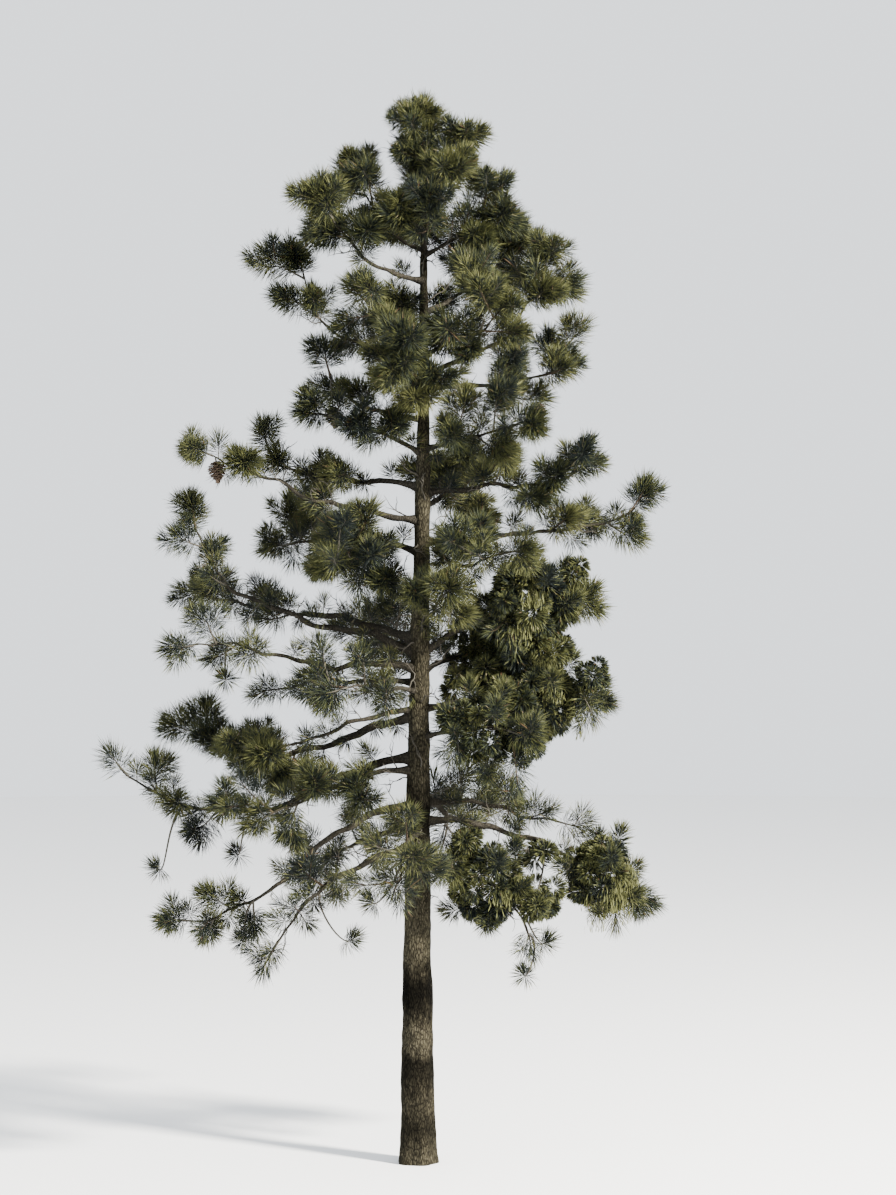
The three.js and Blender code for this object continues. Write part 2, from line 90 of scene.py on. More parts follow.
# %% Sizes of the trunk, limbs, twigs and tufts
TRUNK_TIP, TRUNK_FULL = 9.95, 11.2
TRUNK_RADIUS, TRUNK_TAPER = 0.178, 0.88
FLARE, FLARE_HEIGHT, FLARE_LOBES, LOBE_DEPTH = 0.032, 0.34, 5, 0.07
LEAN, LEAN_FROM, LEAN_TO = 0.064, 2.5, 8.5
CLAIM_STEPS = 16  # how many rods claim the trunk's space

GAP, CLEAR = 0.0003, 0.005
LIMB_STEPS, LIMB_TIP, LIMB_SLOPE, LIMB_HOLD = 6, 0.0065, 0.0125, 0.36
STEM_STEPS, STEM_ROOT, LAST_SPRIG, FIRST_TWIG = 4, 0.011, 0.85, 0.4
TWIG_ROOT, TWIG_SPRING, TWIG_FORK, FORK_LENGTH = 0.009, 0.55, 0.45, 0.85
TUFT_APART = 0.32
OPEN = {"reach": 0.288, "space": 0.204, "lift": 0.2, "turn_up": 0.5}
DENSE = {"reach": 0.26, "space": 0.2, "lift": -0.25, "turn_up": -0.45}
CORE_SPACE, CORE_SHRINK = 1.3, 0.95
CONE_LENGTH, CONE_RADIUS, CONE_ALONG = 0.15, 0.055, 0.8
SEED, VIGOUR, LEAST, MOST, TRIES, STRETCH = 53, 1.05, 0.8, 1.2, 10, 0.05
GOLDEN_ANGLE = math.pi * (3 - math.sqrt(5))
print("The golden angle is", round(math.degrees(GOLDEN_ANGLE), 1), "degrees")

# %% [markdown]
# The boughs are the ten limbs that show bare over a long way. The masses follow in the order in
# which they grow, because a mass that comes later gives way to the earlier ones. A mass with no
# `root` stands on the bough of its own name. `twigs` gives the bare share of the stem, the twigs'
# length and the most tufts it bears. A `core` is the radius of the heart of a dense mass, and
# `cone` says that a cone hangs there.

# %% The boughs
BOUGHS = {
    "left_top": (172, (9.35, 18), (0.45, 9.74, 62)),
    "left_high": (162, (7.98, 32), (1.03, 8.65, 32)),
    "left_cone": (187, (6.58, 6), (1.51, 6.99, 24)),
    "left_hook": (176, (5.2, 28), (1.68, 5.76, 26)),
    "left_level": (204, (5.05, 14), (1.65, 5.24, 24)),
    "left_sloping": (188, (4.65, -4), (1.31, 4.29, -16)),
    "left_long": (174, (4.14, 2), (1.93, 3.58, 4)),
    "left_arched": (188, (3.65, 4), (1.61, 2.76, -34)),
    "right_high": (350, (8.05, 26), (1.12, 8.73, 64)),
    "right_long": (8, (6.37, -2), (1.0, 6.43, 18)),
}


# %% The masses of needles
def mass(name, turn, root, tip, twigs, core=0.0, cone=False):
    """One row of the table of masses."""
    return {"name": name, "turn": turn, "root": root, "tip": tip, "twigs": twigs,
            "core": core, "cone": cone}


MASSES = [
    mass("top", 0, (TRUNK_TIP, 90), (0.064, 10.71, 90), (0, 0.27, 11)),
    mass("top_right", 350, (9.7, 45), (0.45, 10.4, 75), (0.3, 0.23, 7)),
    mass("top_front", 284, (9.35, 40), (0.48, 9.77, 50), (0.3, 0.24, 5)),
    mass("top_back", 85, (9.15, 35), (0.68, 9.85, 70), (0.4, 0.26, 6)),
    mass("left_top", 170, None, (0.61, 10.13, 76), (0, 0.25, 6)),
    mass("left_upper", 197, (9.03, 10), (0.96, 9.78, 74), (0.45, 0.23, 7)),
    mass("left_high", 166, None, (1.23, 9.18, 80), (0, 0.23, 8)),
    mass("left_veil", 222, (8.5, 25), (0.8, 8.85, 40), (0.3, 0.26, 6)),
    mass("left_knee", 175, (7.62, 2), (0.95, 8.24, 84), (0.35, 0.2, 6), cone=True),
    mass("left_fore", 210, (7.25, 25), (1.2, 7.64, 4), (0.2, 0.24, 7)),
    mass("left_straight", 166, (6.9, 22), (1.64, 7.45, 76), (0.25, 0.22, 9)),
    mass("left_cone", 187, None, (2.2, 7.27, 16), (0.2, 0.18, 6), cone=True),
    mass("left_rear", 142, (6.25, 10), (1.95, 6.33, -10), (0.35, 0.26, 8)),
    mass("left_heart", 206, (5.66, 48), (1.0, 6.1, -8), (0.25, 0.33, 11)),
    mass("left_hook", 178, None, (2.31, 6.66, 84), (0.2, 0.19, 9)),
    mass("left_outer", 153, (5.35, 18), (2.74, 5.85, 14), (0.5, 0.23, 8)),
    mass("left_level", 203, None, (2.54, 5.29, -6), (0, 0.22, 8)),
    mass("left_mid", 168, (4.9, 10), (1.58, 4.83, -10), (0.4, 0.23, 6)),
    mass("left_inner", 228, (4.8, 15), (1.25, 4.85, -10), (0.25, 0.26, 7)),
    mass("left_sloping", 190, None, (1.83, 4.28, 20), (0, 0.25, 8)),
    mass("left_raised", 152, (4.59, -14), (2.56, 4.54, 84), (0.4, 0.24, 9)),
    mass("left_long", 176, None, (3.12, 4.09, 52), (0, 0.2, 9)),
    mass("left_heavy", 208, (4.02, 6), (1.8, 3.56, -18), (0.25, 0.27, 10)),
    mass("left_arched", 184, None, (2.45, 2.5, 10), (0, 0.21, 8)),
    mass("left_skirt", 150, (3.4, 0), (1.45, 2.9, -30), (0.2, 0.26, 8)),
    mass("left_hanging", 214, (3.25, -6), (1.79, 2.18, -60), (0.3, 0.21, 8)),
    mass("right_upper", 355, (9.3, 20), (0.71, 9.93, 80), (0.3, 0.24, 7)),
    mass("right_twin", 35, (8.7, 32), (1.08, 9.4, 66), (0.35, 0.26, 8)),
    mass("right_high", 352, None, (1.33, 9.21, 80), (0, 0.23, 9)),
    mass("right_veil", 318, (8.25, 25), (1.15, 8.68, 40), (0.25, 0.3, 9)),
    mass("right_cone", 26, (7.93, 8), (1.7, 8.2, 24), (0.3, 0.28, 10), cone=True),
    mass("right_fore", 328, (7.3, 16), (1.28, 7.56, 20), (0.25, 0.29, 9)),
    mass("right_mid", 354, (6.85, 14), (1.73, 7.12, 30), (0.35, 0.25, 8)),
    mass("right_long", 8, None, (2.33, 6.83, 66), (0.15, 0.22, 8)),
    mass("right_inner", 318, (5.9, 30), (1.35, 6.25, 10), (0.25, 0.27, 8)),
    mass("right_shoulder", 354, (5.2, 34), (1.72, 5.72, -20), (0.35, 0.35, 5), core=0.4),
    mass("right_rear", 45, (5.0, 25), (1.5, 5.3, 0), (0.2, 0.33, 5), core=0.33),
    mass("right_heart", 2, (4.65, 6), (1.83, 4.74, -14), (0.4, 0.38, 5), core=0.44),
    mass("right_under", 326, (4.35, 12), (1.3, 4.4, -20), (0.2, 0.32, 5), core=0.34),
    mass("right_low", 20, (3.7, 2), (1.75, 3.4, -12), (0.4, 0.18, 6)),
    mass("right_outer", 6, (3.5, 4), (2.33, 2.7, -30), (0.6, 0.34, 5), core=0.4),
    mass("right_skirt", 345, (3.0, 20), (1.19, 2.3, -80), (0, 0.32, 5), core=0.33),
    mass("front_high", 268, (7.7, 38), (0.9, 8.2, 30), (0.2, 0.33, 10)),
    mass("front_mid", 287, (5.45, 36), (1.05, 5.85, 20), (0.35, 0.23, 6)),
    mass("front_low", 262, (3.35, 20), (1.45, 2.95, -20), (0.35, 0.26, 8)),
    mass("back_high", 105, (8.2, 32), (1.25, 8.9, 66), (0.25, 0.3, 9)),
    mass("back_mid", 72, (6.7, 20), (1.85, 7.15, 40), (0.3, 0.32, 10)),
    mass("back_low", 104, (5.3, 10), (2.15, 5.3, 10), (0.3, 0.34, 11)),
    mass("back_foot", 72, (3.7, -4), (2.1, 3.35, 0), (0.3, 0.34, 11)),
]
print(len(BOUGHS), "boughs and", len(MASSES), "masses")

# %% [markdown]
# A few small tools do the drawing of lines. A limb's middle line is a Bezier curve that leaves one
# point along one direction and arrives at another along a second one. The stream of random numbers
# is the one that the solids used, so that each twig falls where the solid has it.

# %% Tools for directions and lines
UP = np.array([0.0, 0.0, 1.0])


def unit(vector):
    """The same direction, one metre long. It takes one vector or rows of them."""
    return vector / np.linalg.norm(vector, axis=-1, keepdims=True)


def heading(turn, climb):
    """The unit vector along an azimuth that climbs at an angle, both in degrees."""
    a, e = math.radians(turn), math.radians(climb)
    return np.array([math.cos(a) * math.cos(e), math.sin(a) * math.cos(e), math.sin(e)])


def across(direction):
    """Two unit vectors across a direction: one level, one as steep as it can be."""
    other = np.array([0.0, 1.0, 0.0]) if abs(direction[2]) > 0.999 else UP
    level = unit(np.cross(direction, other))
    return level, unit(np.cross(level, direction))


def outwards(along, turn):
    """The unit vector across a direction, at an angle round it in radians."""
    level, steep = across(along)
    return level * math.cos(turn) + steep * math.sin(turn)


def limb_line(start, leave, end, arrive):
    """The four corners of a limb's Bezier curve."""
    hold = LIMB_HOLD * np.linalg.norm(end - start)
    return np.array([start, start + leave * hold, end - arrive * hold, end])


def point_on(line, t):
    """The point, or the rows of points, at the share `t` of a line."""
    t = np.asarray(t, float)[..., None]
    a, b, c, d = line
    return (1 - t) ** 3 * a + 3 * (1 - t) ** 2 * t * b + 3 * (1 - t) * t**2 * c + t**3 * d


def tangent_on(line, t):
    low, high = max(t - 1e-4, 0.0), min(t + 1e-4, 1.0)
    return unit(point_on(line, high) - point_on(line, low))


def length_through(points):
    """The length of the way through a row of points."""
    return np.linalg.norm(np.diff(points, axis=0), axis=1).sum()


def length_of(line):
    return length_through(point_on(line, np.linspace(0, 1, 201)))


def lerp(a, b, t):
    return (1 - t) * a + t * b


def seeded(seed):
    """A stream of numbers from 0 to 1 that is the same on every run."""
    state = ((seed + 1000 * SEED) * 2654435761) & 0xFFFFFFFF

    def draw():
        nonlocal state
        state = (state * 1664525 + 1013904223) & 0xFFFFFFFF
        return state / 4294967296

    return draw


# %% [markdown]
# The trunk of a tall pine is nearly straight: it tapers evenly, widens at the foot, and leans a
# little as it rises. Two formulas say all of this, so that limbs, bark and dead twigs can ask for
# the trunk's middle and radius at any height.

# %% The trunk's middle line and radius
def trunk_axis(height):
    share = min(max((height - LEAN_FROM) / (LEAN_TO - LEAN_FROM), 0.0), 1.0)
    return np.array([LEAN * share * share * (3 - 2 * share), 0.0, height])


def trunk_radius(height):
    body = TRUNK_RADIUS * (1 - height / TRUNK_FULL) ** TRUNK_TAPER
    return body + FLARE * math.exp(-height / FLARE_HEIGHT)


BREAST_HEIGHT = 1.3
print("At breast height the trunk is", round(2 * trunk_radius(BREAST_HEIGHT), 2), "m thick")

# %% [markdown]
# Every mass keeps to a space of its own. The trunk, the limbs, the twigs and the tufts claim theirs
# as rods and balls, and a new twig is only grown where it comes near none that another one holds.
# The distance of a rod to all the others is worked out at once, with arrays.

# %% Who holds which space
claimed = np.zeros((4096, 7))  # two ends and a radius in each row
owners = np.zeros(4096, int)
claims = 0


def claim(start, end, radius, owner):
    """Claims a round-ended rod of space. A ball is a rod of no length."""
    global claims
    claimed[claims] = [*start, *end, radius]
    owners[claims] = owner
    claims += 1


def claim_line(line, steps, radius, owner):
    points = point_on(line, np.arange(steps + 1) / steps)
    for start, end in zip(points, points[1:]):
        claim(start, end, radius, owner)


def is_clear(start, end, radius, owner):
    rods = claimed[:claims][owners[:claims] != owner]
    along, other, between = end - start, rods[:, 3:6] - rods[:, :3], start - rods[:, :3]
    a = max(along @ along, 1e-15)
    e = np.maximum((other * other).sum(1), 1e-15)
    b, c, f = other @ along, between @ along, (other * between).sum(1)
    slant = a * e - b * b
    crossing = slant > 1e-6 * a * e
    s = np.clip((b * f - c * e) / np.where(crossing, slant, 1), 0, 1) * crossing
    t = np.clip((b * s + f) / e, 0, 1)
    s = np.clip((b * t - c) / a, 0, 1)
    apart = np.linalg.norm(between + s[:, None] * along - t[:, None] * other, axis=1)
    return bool(np.all(apart >= radius + rods[:, 6] + CLEAR))


# %% [markdown]
# Now the skeleton grows as it did in the solids: first the lines of all limbs and stems, and then
# the hearts of the dense masses. A heart shrinks until it has a place of its own.

# %% Lines of the limbs
def tip_of(turn, tip):
    return heading(turn, 0) * tip[0] + UP * tip[1]


def line_from_trunk(turn, root, tip):
    start = trunk_axis(root[0])
    return limb_line(start, heading(turn, root[1]), tip_of(turn, tip), heading(turn, tip[2]))


for i in range(CLAIM_STEPS):
    low, high = (TRUNK_TIP * k / CLAIM_STEPS for k in (i, i + 1))
    claim(trunk_axis(low), trunk_axis(high), trunk_radius(low), -1)

boughs = {}
for number, (name, (turn, root, tip)) in enumerate(BOUGHS.items()):
    line = line_from_trunk(turn, root, tip)
    stem = next(row for row in MASSES if row["name"] == name)
    beyond = np.linalg.norm(tip_of(turn, tip) - tip_of(stem["turn"], stem["tip"]))
    tip_radius = LIMB_TIP + LIMB_SLOPE * beyond
    root_radius = tip_radius + LIMB_SLOPE * length_of(line)
    claim_line(line, LIMB_STEPS, root_radius, -2 - number)
    boughs[name] = {"line": line, "root_radius": root_radius, "tip_radius": tip_radius}

for number, row in enumerate(MASSES):
    bough = boughs.get(row["name"])
    end, arrive = tip_of(row["turn"], row["tip"]), heading(row["turn"], row["tip"][2])
    if bough:
        along = tangent_on(bough["line"], 1.0)
        start = point_on(bough["line"], 1.0) + along * GAP
        row["line"], row["radius"] = limb_line(start, along, end, arrive), bough["tip_radius"]
    elif row["root"][0] == TRUNK_TIP:
        row["line"] = limb_line(trunk_axis(TRUNK_TIP + GAP), UP, end, UP)
        row["radius"] = trunk_radius(TRUNK_TIP)
    else:
        row["line"] = line_from_trunk(row["turn"], row["root"], row["tip"])
        row["radius"] = STEM_ROOT + LIMB_SLOPE * length_of(row["line"])
    claim_line(row["line"], STEM_STEPS, row["radius"], number)
    claim(end, end, OPEN["space"], number)

for number, row in enumerate(MASSES):
    if row["core"]:
        row["heart"] = point_on(row["line"], (1 + row["twigs"][0]) / 2)
        space = row["core"] * CORE_SPACE
        while not is_clear(row["heart"], row["heart"], space, number):
            space *= CORE_SHRINK
        row["core"] = space / CORE_SPACE
        claim(row["heart"], row["heart"], space, number)
print(claims, "rods and balls are claimed by the trunk, the limbs and the hearts")

# %% [markdown]
# Then each mass grows, twig by twig. A twig leaves its stem at the golden angle to the one before,
# because that is how buds stand round a shoot: none is right above another. It forks once, and
# carries a tuft on each end. Where it has no room it is tried again, turned and a little longer.

# %% Twigs and tufts
def grow(number, row):
    """Grows one mass, and lists its sprigs as the root, the end, the tuft's axis and the share."""
    random = seeded(number + 1)
    kind = DENSE if row["core"] else OPEN
    line = row["line"]
    bare, length, most = row["twigs"]
    sprigs = []

    def add_sprig(root, end, axis, share, forked):
        claim(end, end, kind["space"], number)
        claim(root, end, TWIG_ROOT, number)
        sprigs.append({"root": root, "end": end, "axis": axis, "share": share, "forked": forked})

    def sprout(root, along, first_turn, long, share, forked):
        for attempt in range(TRIES):
            out = outwards(along, first_turn + attempt * GOLDEN_ANGLE)
            direction = unit(out + along * TWIG_SPRING + UP * kind["lift"])
            end = root + direction * long * (1 + STRETCH * attempt)
            if any(np.linalg.norm(other["end"] - end) < TUFT_APART for other in sprigs):
                continue
            if not is_clear(end, end, kind["space"], number):
                continue
            if not is_clear(root, end, TWIG_ROOT, number):
                continue
            add_sprig(root, end, unit(direction + UP * kind["turn_up"]), share, forked)
            return direction, lerp(root, end, TWIG_FORK)
        return None

    twigs = math.ceil((most - 1) / 2)
    add_sprig(point_on(line, LAST_SPRIG), point_on(line, 1.0), tangent_on(line, 1.0), 1.0, False)
    for k in range(twigs):
        share = bare + (1 - bare) * (k + FIRST_TWIG) / twigs
        turn = k * GOLDEN_ANGLE + 2 * math.pi * random()
        long = VIGOUR * length * lerp(LEAST, MOST, random())
        fork_turn = 2 * math.pi * random()
        twig = sprout(point_on(line, share), tangent_on(line, share), turn, long, share, False)
        if twig:
            sprout(twig[1], twig[0], fork_turn, long * FORK_LENGTH, share, True)
    return sprigs


for number, row in enumerate(MASSES):
    row["number"] = number
    row["sprigs"] = grow(number, row)
print("The rule grew", sum(len(row["sprigs"]) for row in MASSES), "tufts")

# %% [markdown]
# ## Bark
#
# Old bark on this kind of pine is greyish brown and breaks into plates that are longer than they
# are wide, with dark cracks between them. A Voronoi texture that is stretched upwards draws such
# plates, and noise breaks up their colour. The pattern runs on the object's own coordinates, so it
# stays on the bark wherever the tree is seen from. First come the tools that wire up a material.


# %% Tools for materials
def new_material(name, color, roughness, specular=0.3):
    """A material with one Principled shader, and that shader."""
    material = bpy.data.materials.new(name)
    material.use_nodes = True
    shader = material.node_tree.nodes["Principled BSDF"]
    shader.inputs["Base Color"].default_value = (*color, 1)
    shader.inputs["Roughness"].default_value = roughness
    shader.inputs["Specular IOR Level"].default_value = specular
    material.diffuse_color = (*color, 1)
    return material, shader


def add_node(material, kind, inputs=None, **settings):
    """A node with its settings, and its inputs: another node's socket, or a plain value."""
    node = material.node_tree.nodes.new("ShaderNode" + kind)
    for name, value in settings.items():
        setattr(node, name, value)
    for key, value in (inputs or {}).items():
        if isinstance(value, bpy.types.NodeSocket):
            material.node_tree.links.new(value, node.inputs[key])
        else:
            node.inputs[key].default_value = value
    return node


def add_ramp(material, factor, stops):
    """A color ramp through its stops, each a place and a grey or a color."""
    node = add_node(material, "ValToRGB", {"Fac": factor})
    elements = node.color_ramp.elements
    elements.remove(elements[1])
    for i, (place, color) in enumerate(stops):
        element = elements[0] if i == 0 else elements.new(place)
        element.position = place
        element.color = (*color, 1) if isinstance(color, tuple) else (color, color, color, 1)
    return node.outputs["Color"]


def mix_colors(material, blend, factor, first, second):
    """Two colors put together. A Mix node's color sockets are its seventh and its eighth."""
    inputs = {0: factor, 6: first, 7: second}
    return add_node(material, "Mix", inputs, data_type="RGBA", blend_type=blend).outputs[2]


# %% [markdown]
# The bark's recipe is one function, because trunk and limbs share it and differ in their numbers:
# a limb's plates are smaller. On the trunk, a ramp along the height paints cast shadows into the
# bark's color: dark rings of painted shadow go round it, and between them the bark is left lighter.
# Noise moves the height about first, so that the painted shadows have ragged edges.


# %% Bark of plates and cracks
RAGGED = 0.5  # how far noise moves the edge of a painted shadow up and down
BANDED_HEIGHT = 10  # the height that the ramp of painted shadows runs over


def bark_material(name, crack, plate, pale, size, stretch, shadow_bands=()):
    """Plates of three tones, `size` wide and `stretch` times as long, over dark cracks."""
    material, shader = new_material(name, plate, roughness=1.0, specular=0.03)
    place = add_node(material, "TexCoord").outputs["Object"]
    squeeze = {"Vector": place, "Scale": (1 / size, 1 / size, 1 / (size * stretch))}
    plates = add_node(material, "Mapping", squeeze).outputs["Vector"]
    bent = add_node(material, "TexNoise", {"Vector": plates, "Scale": 0.8, "Detail": 2.0})
    moved = add_node(
        material, "VectorMath", {0: plates, 1: bent.outputs["Color"]}, operation="ADD"
    ).outputs[0]
    edge = add_node(
        material, "TexVoronoi", {"Vector": moved, "Scale": 1.0}, feature="DISTANCE_TO_EDGE"
    ).outputs["Distance"]
    depth = add_ramp(material, edge, [(0.0, 0.0), (0.07, 0.5), (0.22, 1.0)])
    grain = add_node(
        material, "TexNoise", {"Vector": moved, "Scale": 3.0, "Detail": 6.0, "Roughness": 0.7}
    ).outputs["Fac"]
    tone = add_ramp(material, grain, [(0.3, crack), (0.48, plate), (0.7, pale)])
    color = mix_colors(material, "MIX", depth, (*crack, 1), tone)
    patch = add_node(material, "TexNoise", {"Vector": place, "Scale": 4.0, "Detail": 3.0})
    mottle = add_ramp(material, patch.outputs["Fac"], [(0.35, 0.62), (0.6, 1.0)])
    color = mix_colors(material, "MULTIPLY", 1.0, color, mottle)
    # Painted cast shadows: a ramp along the height darkens the bark's color in rings round the
    # trunk.
    if shadow_bands:
        height = add_node(material, "SeparateXYZ", {0: place}).outputs["Z"]
        shadow_edge_noise = add_node(material, "TexNoise", {"Vector": plates, "Scale": 0.45, "Detail": 4.0})
        ragged = add_node(
            material, "Math", {0: shadow_edge_noise.outputs["Fac"], 1: RAGGED, 2: height},
            operation="MULTIPLY_ADD",
        ).outputs[0]
        share = add_node(
            material, "Math", {0: ragged, 1: 1 / BANDED_HEIGHT}, operation="MULTIPLY"
        ).outputs[0]
        stops = [((z + RAGGED / 2) / BANDED_HEIGHT, grey) for z, grey in shadow_bands]
        color = mix_colors(material, "MULTIPLY", 1.0, color, add_ramp(material, share, stops))
    material.node_tree.links.new(color, shader.inputs["Base Color"])
    both = add_node(material, "Math", {0: grain, 1: 0.5, 2: depth}, operation="MULTIPLY_ADD")
    bump = add_node(
        material, "Bump", {"Height": both.outputs[0], "Distance": size * 0.3, "Strength": 0.9}
    )
    material.node_tree.links.new(bump.outputs["Normal"], shader.inputs["Normal"])
    return material


PAINTED_SHADOW_BANDS = [  # heights, and how bright the painted shadow leaves the bark there
    (0.0, 0.75), (0.17, 0.6), (0.3, 0.25), (0.46, 0.3), (0.6, 0.6), (0.86, 0.2), (1.03, 0.12),
    (1.12, 0.5), (1.22, 0.75), (1.37, 0.75), (1.5, 0.3), (1.62, 0.08), (1.8, 0.05), (1.95, 0.25),
    (2.1, 0.75), (2.25, 1.0), (2.6, 0.9), (3.15, 0.6), (3.35, 0.2), (3.6, 0.18), (3.85, 0.6),
    (4.4, 0.85), (5.0, 0.65), (5.6, 0.9), (6.6, 0.75), (7.0, 1.0), (7.4, 0.75), (8.4, 0.55),
]
trunk_bark = bark_material(
    "trunk_bark", (0.009, 0.008, 0.006), (0.038, 0.034, 0.0215), (0.128, 0.112, 0.076),
    size=0.024, stretch=3.2, shadow_bands=PAINTED_SHADOW_BANDS,
)
limb_bark = bark_material(
    "limb_bark", (0.012, 0.011, 0.009), (0.029, 0.026, 0.02), (0.078, 0.069, 0.054),
    size=0.016, stretch=2.5,
)
print("The trunk's bark has", len(PAINTED_SHADOW_BANDS), "bands, and the limbs' bark has none")

# %% [markdown]
# ## The trunk
#
# The trunk is made as a turner would draw it: a disc that is extruded upwards ring by ring and
# narrowed at each one, leaning over as it rises. A cylinder stretched to length would be quicker,
# but its rings wouldn't be close at the foot, where the flare needs them. The flare's buttresses
# are pulled out last.

# %% Tools for modelling
def start_alone():
    """Leaves edit mode and deselects everything, so that operators touch only what is new."""
    if bpy.context.object and bpy.context.object.mode != "OBJECT":
        bpy.ops.object.mode_set(mode="OBJECT")
    bpy.ops.object.select_all(action="DESELECT")


def only(*pieces):
    """Selects these pieces and nothing else, and makes the first one active."""
    start_alone()
    for piece in pieces:
        piece.select_set(True)
    bpy.context.view_layer.objects.active = pieces[0]


def cover(piece, material):
    """Gives a piece one material all over."""
    piece.data.materials.clear()
    piece.data.materials.append(material)


def add_relief(piece, kind, size, strength, stretch=1.0, middle=0.5, **settings):
    """Pushes a surface in and out by a texture, stretched upwards, and keeps the result."""
    texture = bpy.data.textures.new("relief", type=kind)
    texture.noise_scale = size
    for name, value in settings.items():
        setattr(texture, name, value)
    start_alone()
    bpy.ops.object.empty_add(location=(0, 0, 0))
    guide = bpy.context.object
    guide.scale = (1, 1, stretch)
    only(piece)
    modifier = piece.modifiers.new("relief", "DISPLACE")
    modifier.texture, modifier.strength, modifier.mid_level = texture, strength, middle
    modifier.texture_coords, modifier.texture_coords_object = "OBJECT", guide
    bpy.ops.object.modifier_apply(modifier=modifier.name)
    bpy.data.objects.remove(guide)
    bpy.data.textures.remove(texture)


# %% The trunk's body
SIDES, RINGS, BELOW = 30, 64, 0.05
LOW_RINGS = 1.2  # above one, the rings stand closer at the foot
BULGE, BULGE_HEIGHT, BULGE_REACH = 0.006, 1.68, 0.14  # a slight swelling

start_alone()
bpy.ops.mesh.primitive_circle_add(
    vertices=SIDES, radius=trunk_radius(0), fill_type="NGON", location=(0, 0, -BELOW)
)
trunk = bpy.context.object
trunk.name = trunk.data.name = "trunk_with_bark"
bpy.ops.object.mode_set(mode="EDIT")
at, radius = trunk_axis(-BELOW), trunk_radius(0)
for height in TRUNK_TIP * (np.arange(RINGS + 1) / RINGS) ** LOW_RINGS:
    up, wide = trunk_axis(height), trunk_radius(height)
    wide += BULGE * math.exp(-(((height - BULGE_HEIGHT) / BULGE_REACH) ** 2))
    bpy.ops.mesh.extrude_region_move(TRANSFORM_OT_translate={"value": tuple(up - at)})
    shrink = wide / radius
    bpy.ops.transform.resize(value=(shrink, shrink, 1), center_override=tuple(up))
    at, radius = up, wide
bpy.ops.mesh.select_all(action="SELECT")
bpy.ops.mesh.normals_make_consistent(inside=False)
bpy.ops.object.mode_set(mode="OBJECT")
bpy.ops.object.transform_apply(location=True)
for vertex in trunk.data.vertices:
    turn, fade = math.atan2(vertex.co.y, vertex.co.x), math.exp(-vertex.co.z / FLARE_HEIGHT)
    out = 1 + LOBE_DEPTH * math.cos(FLARE_LOBES * turn) * fade
    vertex.co.x *= out
    vertex.co.y *= out
print("The plain trunk has", len(trunk.data.vertices), "points")

# %% [markdown]
# Two Displace modifiers give the trunk its relief: broad swellings first, and long plates on top.
# The mesh is made finer before them, because a texture can only move points that are there. At the
# end everything under the ground is cut off flat, because that face is where the tree stands.

# %% The trunk's relief and flat cut
smooth = trunk.modifiers.new("smooth", "SUBSURF")
smooth.levels = smooth.render_levels = 2
bpy.ops.object.modifier_apply(modifier=smooth.name)
add_relief(trunk, "CLOUDS", size=0.28, strength=0.03, stretch=1.6)
add_relief(
    trunk, "VORONOI", size=0.045, strength=0.016, stretch=4.0, middle=0.3,
    distance_metric="DISTANCE", weight_1=-1, weight_2=1,
)
bpy.ops.object.mode_set(mode="EDIT")
bpy.ops.mesh.select_all(action="SELECT")
bpy.ops.mesh.bisect(plane_co=(0, 0, 0), plane_no=(0, 0, 1), clear_inner=True, use_fill=True)
bpy.ops.object.mode_set(mode="OBJECT")
bpy.ops.object.shade_smooth_by_angle(angle=math.radians(60))
cover(trunk, trunk_bark)
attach(trunk, "root")
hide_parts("trunk")
print("The trunk has", len(trunk.data.polygons), "faces")

# %% [markdown]
# ## Boughs and stems
#
# A limb in the solids is one smooth bow. A real one wanders: it bends a little at each place where
# a side branch left, and swells where it leaves the trunk. So each limb's line is moved about by a
# few slow waves and some sharper knees, which die out at both ends.

# %% Wandering lines
detail = np.random.default_rng(SEED)
WANDER = 0.028  # how far a limb strays, at most
WAVES = ((1.0, 0.62), (0.45, 0.3), (0.2, 0.1))  # length, and share of the straying
KNEE_APART, KNEE = 0.19, 0.011  # sharper bends, where side branches once left
HELD_ROOT, HELD_TIP = 0.5, 0.3  # how far from its ends a limb is free to stray
STEM_POINTS, BOUGH_POINTS = 31, 41
COLLAR, COLLAR_REACH = 0.5, 0.05  # how much thicker a limb is where it leaves the trunk
SWELLING = 0.09


def wander(points):
    """Moves the points of a line about, but hardly at its ends."""
    step = np.linalg.norm(np.diff(points, axis=0), axis=1)
    along = np.concatenate([[0.0], np.cumsum(step)])
    free = np.clip(along / HELD_ROOT, 0, 1) * np.clip((along[-1] - along) / HELD_TIP, 0, 1)
    tangents = unit(np.gradient(points, axis=0))
    level = unit(np.cross(tangents, UP) + 1e-6)
    steep = np.cross(level, tangents)
    moved = points.copy()
    for side in (level, steep):
        for length, share in WAVES:
            wave = np.sin(2 * np.pi * (along / length + detail.random()))
            moved += side * (WANDER * share * free * wave)[:, None]
        knees = np.arange(0, along[-1] + KNEE_APART, KNEE_APART)
        sway = np.interp(along, knees, detail.normal(0, KNEE, len(knees)))
        moved += side * (sway * free)[:, None]
    return moved


